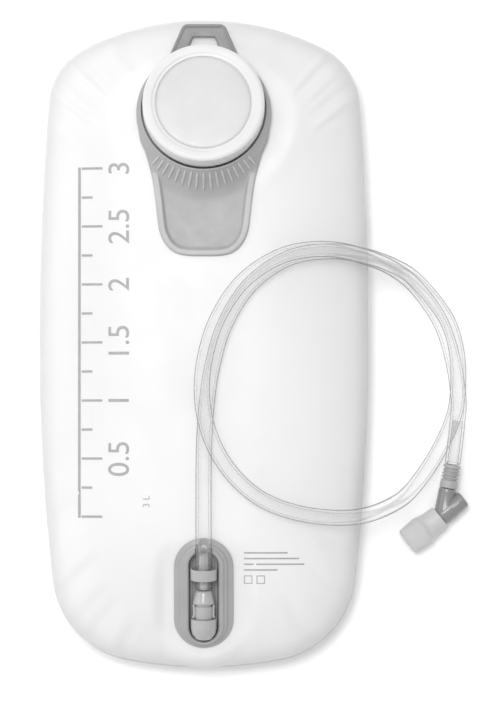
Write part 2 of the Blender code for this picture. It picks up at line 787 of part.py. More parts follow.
def smooth_route(corners, spacing):
    """Evenly spaced points on a smooth curve through the corners."""
    spots = [Vector(c) * MM for c in corners]
    spots = [2 * spots[0] - spots[1]] + spots + [2 * spots[-1] - spots[-2]]
    fine = []
    steps = 24
    for a, b, c, d in zip(spots, spots[1:], spots[2:], spots[3:]):
        for i in range(steps):
            t = i / steps
            fine.append(0.5 * (
                2 * b + (c - a) * t + (2 * a - 5 * b + 4 * c - d) * t ** 2
                + (3 * b - a - 3 * c + d) * t ** 3
            ))
    fine.append(spots[-2])
    reach = [0.0]
    for a, b in zip(fine, fine[1:]):
        reach.append(reach[-1] + (b - a).length)
    count = round(reach[-1] / spacing)
    points = []
    index = 0
    for i in range(count + 1):
        target = reach[-1] * i / count
        while index < len(reach) - 2 and reach[index + 1] < target:
            index += 1
        span = reach[index + 1] - reach[index]
        points.append(fine[index].lerp(fine[index + 1], (target - reach[index]) / span))
    return points


def make_tube(mat):
    points = smooth_route(TUBE_ROUTE_MM, TUBE_POINT_SPACING)
    return wire("drinking_tube", points, TUBE_RADIUS, Matrix.Identity(4), mat, 2)


# ---------------------------------------------------------------- mouthpiece

def make_sleeve(mat):
    """Ribbed sleeve over the tube's end, with four grooves."""
    length = SLEEVE_LENGTH / MM
    profile = [(2.6, 0.0), (2.6, length), (4.9, length), (5.15, length - 0.4)]
    for i in reversed(range(4)):
        at = 2.6 + 2.1 * i
        profile += [(5.15, at + 0.45), (4.65, at), (5.15, at - 0.45)]
    profile += [(5.15, 0.4), (4.9, 0.0)]
    turned("tube_sleeve", profile, SLEEVE, mat, steps=20)


def make_elbow(mat, plug_mat):
    """Inlet and barrel in one piece, with a plug in the barrel's far end."""
    far = -BARREL_LENGTH / MM
    profile = [
        (4.0, 0), (5.8, 0), (6.05, -0.3), (5.9, -5.0), (5.2, far + 0.5), (5.0, far), (4.0, far),
    ]
    elbow = turned("valve_elbow", profile, BARREL, mat, steps=24)
    inlet_start = SLEEVE_LENGTH + GAP
    inlet = rod("valve_inlet", INLET_RADIUS, inlet_start, INLET_END, SLEEVE, sides=20)
    in_front = box("in_front_of_barrel", (40 * MM, 40 * MM, 20 * MM), (0, 0, 9.8 * MM), BARREL)
    join(elbow, cut(inlet, in_front))
    begin = SLEEVE @ Vector((0, 0, inlet_start - 1 * MM))
    into = BARREL @ Vector((0, 0, -CORE_SIDE_HOLE_DEPTH))
    flow_frame = frame_along(begin, (into - begin).normalized())
    cut(
        elbow,
        rod("barrel_bore", BARREL_BORE, -30 * MM, 10 * MM, BARREL),
        rod("inlet_bore", 2.2 * MM, 0, (into - begin).length, flow_frame, sides=12),
    )
    end_profile = [(0, far + 3.4), (4.1, far + 3.4), (4.4, far + 3.0), (4.4, far), (0, far)]
    turned("barrel_end_plug", end_profile, BARREL, plug_mat, steps=20)


def make_core(mat, seal_mat):
    """Hollow core that turns in the barrel; its side hole meets the inlet when open."""
    body, groove = 4.3, 3.4
    profile = [
        (4.6, 10.4), (4.9, 9.6), (body, 7.6), (body, -0.9), (groove, -0.9), (groove, -2.1),
        (body, -2.1), (body, -9.2), (groove, -9.2), (groove, -10.4), (body, -10.4), (body, -13.8),
        (2.6, -13.8), (2.6, 10.4),
    ]
    core = turned("valve_core", profile, BARREL, mat, steps=24)
    across = -SLEEVE_DIRECTION + BARREL_DIRECTION * SLEEVE_DIRECTION.dot(BARREL_DIRECTION)
    hole_centre = BARREL @ Vector((0, 0, -CORE_SIDE_HOLE_DEPTH))
    hole_frame = frame_along(hole_centre, across.normalized())
    cut(core, rod("core_side_hole", 1.9 * MM, 0, 10 * MM, hole_frame, sides=12))
    ring_seal("core_o_ring_front", 3.95 * MM, 0.4 * MM, -1.5 * MM, BARREL, seal_mat)
    ring_seal("core_o_ring_rear", 3.95 * MM, 0.4 * MM, -9.8 * MM, BARREL, seal_mat)


def make_bite_valve(mat):
    """Collar, hollow over the core, with a crease where it widens and flattens to the mouth end."""
    sections = [
        (17.0, 1.2, 0.5), (15.0, 2.6, 1.6), (11.4, 3.0, 3.0), (11.0, 5.3, 5.3), (0.3, 5.3, 5.3),
        (0.3, 7.1, 7.1), (0.8, 7.4, 7.35), (8.0, 7.85, 7.55), (10.2, 8.25, 7.4), (11.5, 8.55, 6.2),
        (14.2, 9.2, 6.85), (17.0, 9.1, 5.8), (22.0, 8.7, 4.6), (24.6, 8.4, 4.1), (25.8, 7.6, 3.2),
    ]
    sides = 24
    bm = bmesh.new()
    rows = []
    for height, half_width, half_thickness in sections:
        row = []
        for i in range(sides):
            turn = 2 * math.pi * i / sides
            across = half_width * MM * math.cos(turn)
            through = half_thickness * MM * math.sin(turn)
            row.append(bm.verts.new((across, through, height * MM)))
        rows.append(row)
    for lower, upper in zip(rows, rows[1:]):
        for i in range(sides):
            j = (i + 1) % sides
            bm.faces.new((lower[i], lower[j], upper[j], upper[i]))
    bm.faces.new(rows[0])
    bm.faces.new(rows[-1])
    smooth(place("bite_valve", mesh_from(bm, "bite_valve"), BARREL, mat), 40)


# ---------------------------------------------------------------- the whole object

def build():
    film = principled("film", (0.93, 0.93, 0.93), 0.35, alpha=0.6)
    soft_grey = principled("soft_grey", (0.42, 0.42, 0.42), 0.5)
    light_grey = principled("light_grey", (0.66, 0.66, 0.66), 0.4)
    frosted = principled("frosted", (0.9, 0.9, 0.9), 0.35)
    silicone = principled("silicone", (0.85, 0.85, 0.85), 0.5)
    clear = principled("clear_tube", (0.95, 0.95, 0.95), 0.08, transmission=0.9)
    steel = principled("spring_steel", (0.6, 0.6, 0.6), 0.3)
    valve_grey = principled("valve_grey", (0.4, 0.4, 0.4), 0.4)

    make_bag(film)
    make_mouth_ring(frosted)
    make_handle(soft_grey)
    make_cap(frosted, frosted, silicone)
    make_port(soft_grey, light_grey)
    make_poppet(light_grey, silicone, steel)
    make_plug(light_grey, silicone)
    make_tube(clear)
    make_sleeve(light_grey)
    make_elbow(valve_grey, valve_grey)
    make_core(light_grey, silicone)
    make_bite_valve(silicone)


build()
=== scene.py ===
"""Looks of the hydration bladder: frosted film bag, cap, soft handle, port, clear tube and mouthpiece.

Lengths are in metres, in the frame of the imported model: the bag lies on its back, +Y towards
the hang loop, +Z up. Profiles of turned pieces are in millimetres.
"""

import json
import math

import bmesh
import bpy
import numpy as np
from mathutils import Matrix, Vector
from mathutils.bvhtree import BVHTree


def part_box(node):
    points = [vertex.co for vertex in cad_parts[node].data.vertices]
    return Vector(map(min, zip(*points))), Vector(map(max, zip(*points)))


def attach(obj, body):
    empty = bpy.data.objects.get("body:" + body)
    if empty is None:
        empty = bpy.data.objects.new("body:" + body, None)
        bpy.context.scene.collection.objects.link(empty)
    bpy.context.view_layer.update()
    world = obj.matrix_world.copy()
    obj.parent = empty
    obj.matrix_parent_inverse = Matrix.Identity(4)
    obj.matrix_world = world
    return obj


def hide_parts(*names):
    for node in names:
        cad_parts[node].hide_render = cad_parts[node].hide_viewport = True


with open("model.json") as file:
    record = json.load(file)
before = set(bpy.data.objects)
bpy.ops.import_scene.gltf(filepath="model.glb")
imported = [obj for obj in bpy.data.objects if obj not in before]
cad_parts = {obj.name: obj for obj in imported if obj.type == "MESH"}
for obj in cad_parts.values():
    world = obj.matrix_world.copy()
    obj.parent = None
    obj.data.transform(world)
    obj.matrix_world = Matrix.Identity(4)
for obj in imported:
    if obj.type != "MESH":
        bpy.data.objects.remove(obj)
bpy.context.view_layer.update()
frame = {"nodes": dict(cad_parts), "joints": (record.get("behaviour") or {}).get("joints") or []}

MM = 0.001
JOINTS = {joint["name"]: joint for joint in frame["joints"]}

# Bag
BAG_LOW, BAG_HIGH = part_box("bag_front_film")
BAG_HALF_LENGTH = (BAG_HIGH.y - BAG_LOW.y) / 2
BAG_HALF_WIDTH = (BAG_HIGH.x - BAG_LOW.x) / 2
BAG_HEIGHT = 50 * MM
SEAM_HEIGHT = 18 * MM
SEAM_RIM = 0.8 * MM
SEAM_HALF_GAP = 0.5 * MM
RIM_HALF_GAP = 0.45 * MM
SEAM_GATHER = 0.35 * MM
END_GATHER = 0.75 * MM
FILM = 0.6 * MM
TOP_END_RADIUS = 160 * MM
TOP_CORNER_RADIUS = 40 * MM
UPPER_SIDE_RADIUS = 1900 * MM
BOTTOM_END_RADIUS = 250 * MM
BOTTOM_CORNER_RADIUS = 55 * MM
LOWER_SIDE_RADIUS = 1250 * MM
FLAT_BACK_SHARE = 0.75
FRONT_RINGS = 40
BACK_RINGS = 16

# Mouth, and the film that its neck holds flat
MOUTH = Vector(JOINTS["cap_turn"]["pos_m"])
NECK_AXIS = Vector(JOINTS["cap_turn"]["axis"])
NECK_TILT = math.atan2(NECK_AXIS.y, NECK_AXIS.z)
MOUTH_FILM_TILT = math.radians(6)
MOUTH_FLAT_RADIUS = 62 * MM
MOUTH_FLAT_SQUEEZE = 1.2
MOUTH_BLEND = 14 * MM
NECK_RADIUS = 31 * MM

# Port
PORT_CENTRE = Vector((0, -149.4, 44.5)) * MM
PLUG_AXIS = Vector(JOINTS["hose_pull"]["axis"])
PORT_TILT = math.atan2(PLUG_AXIS.z, PLUG_AXIS.y)
PORT_FLAT_MARGIN = 5 * MM
PORT_BLEND = 9 * MM
PORT_LENGTH = 66.7 * MM
PORT_WIDTH = 35.4 * MM
PLATE_HALF_STRAIGHT = 15.65 * MM
POCKET_HALF_STRAIGHT = 18.75 * MM
POCKET_SHIFT = -1.6 * MM
PLUG_HEIGHT = 3.5 * MM
CHANNEL_START = Vector((0, 20.0, 3.45)) * MM
CHANNEL_RISE = math.radians(13)
CHANNEL_RADIUS = 5.2 * MM

# Tube and mouthpiece
TUBE_RADIUS = 4.75 * MM
TUBE_BORE = 3.2 * MM
BORED_STEPS = 14
SLEEVE_START = Vector((149.8, -73.0, 10.2)) * MM
SLEEVE_DIRECTION = Vector((-0.19, -0.982, -0.071)).normalized()
BARREL_MOUTH = Vector(JOINTS["bite_twist"]["pos_m"])
BARREL_AXIS = Vector(JOINTS["bite_twist"]["axis"])

# How much the clear tube covers, and its grey, from face on (0) to edge on (1); the grey is painted shade,
# dark lines at the edge and where the bore would show, standing in for refraction
TUBE_COVER = ((0, 0.05), (0.17, 0.06), (0.24, 0.34), (0.32, 0.08), (0.5, 0.12), (0.68, 0.6), (1, 1))
TUBE_PAINTED_SHADE = ((0, 0.85), (0.17, 0.8), (0.24, 0.35), (0.32, 0.8), (0.5, 0.6), (0.68, 0.12), (1, 0.04))

# Barb of the hose plug, inside the tube's first stretch, in mm
BARB_LENGTH = 21.5
BARB_STEP = 0.5
BARB_ROOT = 2.5
BARB_TEETH_START = 3.0
TOOTH_LENGTH = 5.5
TOOTH_HEIGHT = 0.6

# The tube's route, the same points as the model's, in mm
TUBE_ROUTE_MM = [
    (0.0, -147.0, 48.5), (0.0, -141.0, 50.0), (0.0, -134.5, 52.5), (0.0, -127.0, 56.0),
    (0.0, -117.5, 59.6), (0.0, -105.0, 61.2), (0.0, -91.0, 59.6), (0.0, -76.0, 56.6),
    (0.3, -60.0, 55.4), (1.7, -38.0, 55.3), (5.0, -15.0, 55.3), (12.6, 10.5, 55.3),
    (28.0, 34.5, 55.3), (51.0, 50.2, 54.2), (76.0, 54.3, 48.8), (98.5, 51.6, 35.0),
    (117.6, 45.0, 18.5), (129.6, 36.6, 9.8), (143.5, 20.0, 5.4), (150.2, 6.0, 5.1),
    (153.4, -12.0, 5.1), (152.9, -34.0, 5.1), (149.2, -48.5, 5.1), (141.4, -65.0, 5.1),
    (131.0, -81.0, 9.3), (118.5, -94.0, 19.5), (98.5, -102.8, 37.0), (78.0, -104.6, 47.6),
    (54.0, -101.2, 53.4), (33.0, -92.6, 55.8), (16.5, -77.8, 60.0), (5.0, -58.6, 65.4),
    (-0.6, -36.0, 65.4), (0.4, -12.0, 64.7), (8.4, 14.0, 64.6), (24.5, 37.0, 64.8),
    (48.0, 51.6, 64.3), (74.0, 55.2, 60.0), (98.5, 50.4, 47.4), (117.6, 42.0, 30.6),
    (131.0, 30.0, 19.2), (143.0, 12.0, 14.6), (150.0, -10.0, 14.6), (153.4, -34.0, 15.0),
    (152.6, -48.0, 14.6), (151.3, -61.0, 12.5), (149.98, -72.2, 10.3),
]


# ---- frames

def tilted_frame(centre, tilt):
    """The world's axes moved to the centre and turned about X."""
    return Matrix.Translation(centre) @ Matrix.Rotation(tilt, 4, "X")


def frame_along(start, direction):
    """Local Z runs along direction, and local X stays level."""
    level = direction.cross(Vector((0, 0, 1))).normalized()
    up = direction.cross(level)
    turn = Matrix((level, up, direction)).transposed()
    return Matrix.Translation(start) @ turn.to_4x4()


NECK = tilted_frame(MOUTH, -NECK_TILT)
MOUTH_FILM = tilted_frame(MOUTH, -MOUTH_FILM_TILT)
PORT = tilted_frame(PORT_CENTRE, PORT_TILT)
POCKET = PORT @ Matrix.Translation((0, POCKET_SHIFT, 0))
PLUG = PORT @ Matrix.Translation((0, 0, PLUG_HEIGHT)) @ Matrix.Rotation(math.radians(-90), 4, "X")
SLEEVE = frame_along(SLEEVE_START, SLEEVE_DIRECTION)
BARREL = frame_along(BARREL_MOUTH, BARREL_AXIS)
WORLD = Matrix.Identity(4)


# ---- camera, light and floor

CAMERA_HEIGHT = 3.03
VIEW_HEIGHT = 0.423
VIEW_PLANE = 0.03
VIEW_SLANT = 0.02
VIEW_CENTRE = (27.6 * MM, -5.7 * MM)
SENSOR = 36
SKY_GREY = 0.80
SKY_TO_RIGHT = -0.18
SKY_UPWARD = 0.15
SKY_STRENGTH = 0.86
FLOOR_HALF_WIDTH = 6.0


def make_camera():
    """A far camera with a long lens, looking down from just below the bag's middle."""
    data = bpy.data.cameras.new("camera")
    data.sensor_width = SENSOR
    data.lens = SENSOR * (CAMERA_HEIGHT - VIEW_PLANE) / VIEW_HEIGHT
    data.clip_end = 20
    camera = bpy.data.objects.new("camera", data)
    aim = Vector((*VIEW_CENTRE, VIEW_PLANE))
    camera.location = aim + Vector((0, -VIEW_SLANT, 1)) * (CAMERA_HEIGHT - VIEW_PLANE)
    camera.rotation_euler = (math.atan(VIEW_SLANT), 0, 0)
    bpy.context.scene.collection.objects.link(camera)
    bpy.context.scene.camera = camera


def area_light(name, place, size, power):
    """A square soft light that faces the middle of the bag."""
    data = bpy.data.lights.new(name, "AREA")
    data.shape = "SQUARE"
    data.size = size
    data.energy = power
    light = bpy.data.objects.new(name, data)
    light.location = place
    light.rotation_euler = (-Vector(place)).to_track_quat("-Z", "Y").to_euler()
    light.visible_camera = False
    bpy.context.scene.collection.objects.link(light)


def add_node(tree, kind, inputs, **settings):
    """A shader node with its settings, and each input set to a value or linked to a socket."""
    node = tree.nodes.new("ShaderNode" + kind)
    for name, value in settings.items():
        setattr(node, name, value)
    for name, value in inputs.items():
        if isinstance(value, bpy.types.NodeSocket):
            tree.links.new(value, node.inputs[name])
        else:
            node.inputs[name].default_value = value
    return node


def make_light():
    """A soft light above, towards the bag's top and left, and a pale sky that is darker to the right."""
    area_light("overhead", (-0.35, 0.75, 3.5), 1.3, 62)
    area_light("left", (-1.9, 0.3, 1.1), 1.2, 6)
    world = bpy.data.worlds.new("studio")
    bpy.context.scene.world = world
    world.use_nodes = True
    tree = world.node_tree
    spot = add_node(tree, "TexCoord", {})
    split = add_node(tree, "SeparateXYZ", {0: spot.outputs["Generated"]})
    side = add_node(
        tree, "Math", {0: split.outputs["X"], 1: SKY_TO_RIGHT, 2: SKY_GREY}, operation="MULTIPLY_ADD",
    )
    grey = add_node(
        tree, "Math", {0: split.outputs["Z"], 1: SKY_UPWARD, 2: side.outputs[0]},
        operation="MULTIPLY_ADD", use_clamp=True,
    )
    background = tree.nodes["Background"]
    tree.links.new(grey.outputs[0], background.inputs["Color"])
    background.inputs["Strength"].default_value = SKY_STRENGTH


def make_floor():
    """Plain white floor, a hair under the bag."""
    size = FLOOR_HALF_WIDTH
    mesh = bpy.data.meshes.new("floor")
    corners = [(-size, -size, 0), (size, -size, 0), (size, size, 0), (-size, size, 0)]
    mesh.from_pydata(corners, [], [(0, 1, 2, 3)])
    floor = bpy.data.objects.new("floor", mesh)
    bpy.context.scene.collection.objects.link(floor)
    floor.location.z = -0.2 * MM
    mesh.materials.append(Finish("floor", 0.97, 0.9).mat)


# ---- materials

class Finish:
    """A Principled material whose grey, roughness and bump can follow noise.

    A noise's scale is its features per metre.
    """

    def __init__(self, name, grey, rough):
        self.mat = bpy.data.materials.new(name)
        self.mat.use_nodes = True
        self.tree = self.mat.node_tree
        self.shader = self.tree.nodes["Principled BSDF"]
        self.grey = grey
        self.set("Base Color", (grey, grey, grey, 1))
        self.set("Roughness", rough)
        self.place = self.node("TexCoord", {}).outputs["Object"]

    def node(self, kind, inputs, **settings):
        return add_node(self.tree, kind, inputs, **settings)

    def set(self, socket, value):
        self.shader.inputs[socket].default_value = value

    def drive(self, socket, value):
        self.tree.links.new(value, self.shader.inputs[socket])

    def noise(self, scale, detail, stretch=(1, 1, 1)):
        spot = self.node("Mapping", {"Vector": self.place, "Scale": stretch})
        texture = self.node("TexNoise", {"Vector": spot.outputs[0], "Scale": scale, "Detail": detail})
        return texture.outputs["Fac"]

    def spread(self, value, low, high):
        """Maps 0.3 to 0.7, where noise mostly stays, to low to high."""
        node = self.node("MapRange", {
            "Value": value, "From Min": 0.3, "From Max": 0.7, "To Min": low, "To Max": high,
        })
        return node.outputs["Result"]

    def clouds(self, scale, detail, amount, stretch=(1, 1, 1)):
        """The grey, lighter and darker by amount with noise."""
        dark, light = self.grey * (1 - amount), min(1, self.grey * (1 + amount))
        mix = self.node("Mix", {
            "A": (dark, dark, dark, 1),
            "B": (light, light, light, 1),
            "Factor": self.spread(self.noise(scale, detail, stretch), 0, 1),
        }, data_type="RGBA")
        self.drive("Base Color", mix.outputs["Result"])

    def uneven_gloss(self, scale, detail, low, high):
        self.drive("Roughness", self.spread(self.noise(scale, detail), low, high))

    def grain(self, scale, height, strength):
        bump = self.node("Bump", {"Height": self.noise(scale, 2), "Distance": height, "Strength": strength})
        self.drive("Normal", bump.outputs[0])

    def translucent(self, weight, depth):
        self.set("Subsurface Weight", weight)
        self.set("Subsurface Radius", (depth, depth, depth))

    def painted_shade_band(self, axis, middle, half_width, grey):
        """Painted shade: greyer within half_width of a plane across the axis, darkening the film's
        shoulders round the seam.
        """
        split = self.node("SeparateXYZ", {0: self.place})
        away = self.node("Math", {0: split.outputs[axis], 1: middle}, operation="SUBTRACT")
        size = self.node("Math", {0: away.outputs[0]}, operation="ABSOLUTE")
        fade = self.node("MapRange", {
            "Value": size.outputs[0], "From Min": half_width * 0.4, "From Max": half_width,
            "To Min": 1, "To Max": 0,
        }, interpolation_type="SMOOTHSTEP")
        mix = self.node("Mix", {
            "A": self.shader.inputs["Base Color"].links[0].from_socket,
            "B": (grey, grey, grey, 1),
            "Factor": fade.outputs["Result"],
        }, data_type="RGBA")
        self.drive("Base Color", mix.outputs["Result"])

    def ramp(self, value, stops, socket):
        """Drives a socket by greys between stops of (value, grey)."""
        ramp = self.node("ValToRGB", {"Fac": value})
        for place, _ in stops[1:-1]:
            ramp.color_ramp.elements.new(place)
        for element, (place, grey) in zip(ramp.color_ramp.elements, stops):
            element.position = place
            element.color = (grey, grey, grey, 1)
        self.drive(socket, ramp.outputs["Color"])


def film_finish():
    """Frosted film: a fine matt grain, faint clouding and a soft gloss."""
    made = Finish("frosted_film", 0.77, 0.38)
    made.clouds(14, 4, 0.02)
    made.uneven_gloss(40, 3, 0.32, 0.46)
    made.grain(2600, 0.05 * MM, 0.25)
    made.translucent(0.5, 0.008)
    made.set("Alpha", 0.92)
    # Painted shade on the film's shoulders, greyer round the seam's height.
    made.painted_shade_band("Z", SEAM_HEIGHT, 18 * MM, 0.68)
    return made.mat


def soft_finish(name, grey, rough=0.45):
    """Moulded soft plastic: fine spark-eroded grain and slight cloudiness."""
    made = Finish(name, grey, rough)
    made.clouds(60, 4, 0.05)
    made.uneven_gloss(150, 3, rough - 0.06, rough + 0.08)
    made.grain(3200, 0.04 * MM, 0.3)
    return made.mat


def hard_finish(name, grey, rough):
    """Moulded hard plastic: a smoother skin with faint flow marks along the piece."""
    made = Finish(name, grey, rough)
    made.clouds(90, 3, 0.035, stretch=(1, 0.3, 1))
    made.uneven_gloss(220, 3, rough - 0.05, rough + 0.07)
    made.grain(1800, 0.02 * MM, 0.25)
    return made.mat


def cap_finish(name, grey):
    """Frosted translucent cap plastic."""
    made = Finish(name, grey, 0.4)
    made.clouds(45, 4, 0.03)
    made.uneven_gloss(120, 3, 0.34, 0.48)
    made.grain(2400, 0.04 * MM, 0.3)
    made.translucent(0.2, 0.005)
    return made.mat


def silicone_finish():
    """Translucent silicone with a velvety skin."""
    made = Finish("silicone", 0.52, 0.5)
    made.clouds(110, 3, 0.04)
    made.uneven_gloss(200, 3, 0.44, 0.58)
    made.grain(2200, 0.03 * MM, 0.3)
    made.translucent(0.35, 0.003)
    made.set("Sheen Weight", 0.15)
    return made.mat


def tube_finish():
    """Clear soft tube: faint face on, with a painted line where the bore would show and a painted dark line
    at its edge, standing in for refraction.
    """
    made = Finish("clear_tube", 0.8, 0.12)
    made.uneven_gloss(90, 2, 0.08, 0.16)
    edge_on = made.node("LayerWeight", {"Blend": 0.5}).outputs["Facing"]
    made.ramp(edge_on, TUBE_COVER, "Alpha")
    # Painted shade: dark lines at the edge and where the bore would show, standing in for refraction.
    made.ramp(edge_on, TUBE_PAINTED_SHADE, "Base Color")
    return made.mat


def steel_finish():
    made = Finish("spring_steel", 0.55, 0.28)
    made.uneven_gloss(900, 2, 0.22, 0.36)
    made.set("Metallic", 1.0)
    return made.mat


def print_finish():
    """Screen-printed grey ink, slightly uneven."""
    made = Finish("print_ink", 0.34, 0.5)
    made.clouds(300, 4, 0.06)
    made.uneven_gloss(500, 2, 0.42, 0.6)
    return made.mat


# ---- mesh helpers

def add_object(name, mesh, place, mat, body):
    """A visible piece that rides a body, with its material."""
    mesh.name = name
    obj = bpy.data.objects.new(name, mesh)
    bpy.context.scene.collection.objects.link(obj)
    obj.matrix_world = place
    mesh.materials.append(mat)
    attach(obj, body)
    return obj


def mesh_from(bm, angle=40):
    """A mesh shaded smooth, except across edges sharper than the angle in degrees."""
    bmesh.ops.recalc_face_normals(bm, faces=bm.faces)
    mesh = bpy.data.meshes.new("mesh")
    bm.to_mesh(mesh)
    bm.free()
    mesh.shade_smooth()
    mesh.set_sharp_from_angle(angle=math.radians(angle))
    return mesh


def loft_rings(bm, rings, ends="capped"):
    """Faces between consecutive rings of points. The ends are capped, joined together or open."""
    rows = [[bm.verts.new(point) for point in ring] for ring in rings]
    pairs = list(zip(rows, rows[1:]))
    if ends == "joined":
        pairs.append((rows[-1], rows[0]))
    for lower, upper in pairs:
        for i in range(len(lower)):
            j = (i + 1) % len(lower)
            bm.faces.new((lower[i], lower[j], upper[j], upper[i]))
    if ends == "capped":
        bm.faces.new(rows[0])
        bm.faces.new(rows[-1])


def lofted_mesh(rings, ends="capped", angle=40):
    """A mesh of one loft."""
    bm = bmesh.new()
    loft_rings(bm, rings, ends)
    return mesh_from(bm, angle)


def prism_mesh(outline, low, high):
    """A flat outline drawn up from one level to another."""
    return lofted_mesh([[(x, y, level) for x, y in outline] for level in (low, high)])


def circle(count):
    """The cosine and sine of each of a number of even turns."""
    turns = [2 * math.pi * i / count for i in range(count)]
    return [(math.cos(turn), math.sin(turn)) for turn in turns]


def turned_mesh(profile, steps=96):
    """Turns (radius, height) points in mm about Z. Points on the axis close the shape."""
    bm = bmesh.new()
    rings = []
    for radius, height in profile:
        ring = [(radius * MM * cos, radius * MM * sin, height * MM) for cos, sin in circle(steps)]
        if radius == 0:
            ring = [(0, 0, height * MM)]
        rings.append([bm.verts.new(spot) for spot in ring])
    pairs = list(zip(rings, rings[1:]))
    if profile[0][0] > 0:
        pairs.append((rings[-1], rings[0]))
    for a, b in pairs:
        for i in range(steps):
            j = (i + 1) % steps
            if len(a) == 1:
                bm.faces.new((a[0], b[i], b[j]))
            elif len(b) == 1:
                bm.faces.new((a[i], b[0], a[j]))
            else:
                bm.faces.new((a[i], b[i], b[j], a[j]))
    return mesh_from(bm, 35)


def rod_mesh(radius, low, high, steps=64):
    """A round rod along Z."""
    profile = [(0, high / MM), (radius / MM, high / MM), (radius / MM, low / MM), (0, low / MM)]
    return turned_mesh(profile, steps)


def rounded_profile(corners, count=4):
    """A section in mm whose corners (x, y, radius) are arcs; radius 0 keeps a corner sharp."""
    points = []
    total = len(corners)
    for i, (x, y, radius) in enumerate(corners):
        if radius == 0:
            points.append((x, y))
            continue
        here = Vector((x, y))
        before = (Vector(corners[i - 1][:2]) - here).normalized()
        after = (Vector(corners[(i + 1) % total][:2]) - here).normalized()
        half = before.angle(after) / 2
        centre = here + (before + after).normalized() * radius / math.sin(half)
        first = here + before * radius / math.tan(half) - centre
        last = here + after * radius / math.tan(half) - centre
        for step in range(count + 1):
            leg = first.lerp(last, step / count).normalized()
            points.append(tuple(centre + leg * radius))
    return points


def apply_modifiers(obj):
    """Makes the object's evaluated mesh its own."""
    depsgraph = bpy.context.evaluated_depsgraph_get()
    result = bpy.data.meshes.new_from_object(obj.evaluated_get(depsgraph))
    obj.modifiers.clear()
    obj.data = result


def combine(obj, other, operation="DIFFERENCE"):
    """Applies one exact Boolean and removes the other object."""
    step = obj.modifiers.new("combine", "BOOLEAN")
    step.operation = operation
    step.object = other
    apply_modifiers(obj)
    bpy.data.objects.remove(other)
    obj.data.shade_smooth()
    obj.data.set_sharp_from_angle(angle=math.radians(40))


def cutter(mesh, place):
    """A loose object for a Boolean to use up."""
    obj = bpy.data.objects.new("cutter", mesh)
    bpy.context.scene.collection.objects.link(obj)
    obj.matrix_world = place
    return obj


def thicken(obj, thickness):
    """Gives a sheet its thickness, inwards."""
    shell = obj.modifiers.new("film", "SOLIDIFY")
    shell.thickness = thickness
    shell.offset = -1
    apply_modifiers(obj)


def ease(value):
    """Goes smoothly from 0 to 1 as the value, or each of an array's, goes from 0 to 1."""
    value = np.clip(value, 0, 1)
    return value * value * (3 - 2 * value)


def arc(centre, radius, start, end, count):
    """Points on an arc from one angle to another, in radians."""
    points = []
    for i in range(count + 1):
        turn = start + (end - start) * i / count
        points.append((centre[0] + radius * math.cos(turn), centre[1] + radius * math.sin(turn)))
    return points


def stadium(half_width, half_straight, count=24):
    """Outline with straight sides along Y and round ends."""
    upper = arc((0, half_straight), half_width, 0, math.pi, count)
    lower = arc((0, -half_straight), half_width, math.pi, 2 * math.pi, count)
    return upper + lower


def curve_point(a, b, c, d, share):
    """The point at a share of the way from b to c, on a smooth curve through all four."""
    return 0.5 * (
        2 * b + (c - a) * share + (2 * a - 5 * b + 4 * c - d) * share ** 2
        + (3 * b - a - 3 * c + d) * share ** 3
    )


# ---- tube

def smooth_route(corners, spacing):
    """Evenly spaced points on a smooth curve through the corners."""
    spots = [Vector(c) * MM for c in corners]
    spots = [2 * spots[0] - spots[1]] + spots + [2 * spots[-1] - spots[-2]]
    fine = []
    steps = 24
    for a, b, c, d in zip(spots, spots[1:], spots[2:], spots[3:]):
        fine += [curve_point(a, b, c, d, i / steps) for i in range(steps)]
    fine.append(spots[-2])
    reach = [0.0]
    for a, b in zip(fine, fine[1:]):
        reach.append(reach[-1] + (b - a).length)
    count = round(reach[-1] / spacing)
    points = []
    index = 0
    for i in range(count + 1):
        target = reach[-1] * i / count
        while index < len(reach) - 2 and reach[index + 1] < target:
            index += 1
        span = reach[index + 1] - reach[index]
        points.append(fine[index].lerp(fine[index + 1], (target - reach[index]) / span))
    return points


def carried_frames(points):
    """A pair of crosswise directions at each point, carried along without twist."""
    across = Vector((1, 0, 0))
    frames = []
    for i in range(len(points)):
        ahead = (points[min(i + 1, len(points) - 1)] - points[max(i - 1, 0)]).normalized()
        across = (across - ahead * across.dot(ahead)).normalized()
        frames.append((across, ahead.cross(across)))
    return frames


def swept_ring(spot, pair, radius, sides):
    """A circle of points round the spot, in the plane of a pair of directions."""
    return [spot + pair[0] * radius * cos + pair[1] * radius * sin for cos, sin in circle(sides)]


def make_tube(mat):
    """The clear tube, bored out where the plug's barb and the valve's spigot go in."""
    points = smooth_route(TUBE_ROUTE_MM, 2.0 * MM)
    frames = carried_frames(points)
    skin = [swept_ring(spot, pair, TUBE_RADIUS, 40) for spot, pair in zip(points, frames)]
    bore = [swept_ring(spot, pair, TUBE_BORE, 40) for spot, pair in zip(points, frames)]
    rings = bore[:BORED_STEPS][::-1] + skin + bore[-BORED_STEPS:][::-1]
    tube = add_object("clear_drinking_tube", lofted_mesh(rings, angle=60), WORLD, mat, "hose")
    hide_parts("drinking_tube")
    length = sum((b - a).length for a, b in zip(points, points[1:]))
    return tube, points, length


def make_barb(mat):
    """The plug's toothed spigot in the start of the tube, tapered at its tip."""
    count = round(BARB_LENGTH / BARB_STEP) + 1
    stations = smooth_route(TUBE_ROUTE_MM, BARB_STEP * MM)[:count]
    rings = []
    for i, (spot, pair) in enumerate(zip(stations, carried_frames(stations))):
        along = i * BARB_STEP
        tooth = 0
        if along > BARB_TEETH_START:
            tooth = TOOTH_HEIGHT * (1 - (along % TOOTH_LENGTH) / TOOTH_LENGTH)
        taper = 2.1 + 0.35 * (BARB_LENGTH - along)
        rings.append(swept_ring(spot, pair, min(BARB_ROOT + tooth, taper) * MM, 24))
    return add_object("hose_barb", lofted_mesh(rings), WORLD, mat, "hose")


# ---- bag

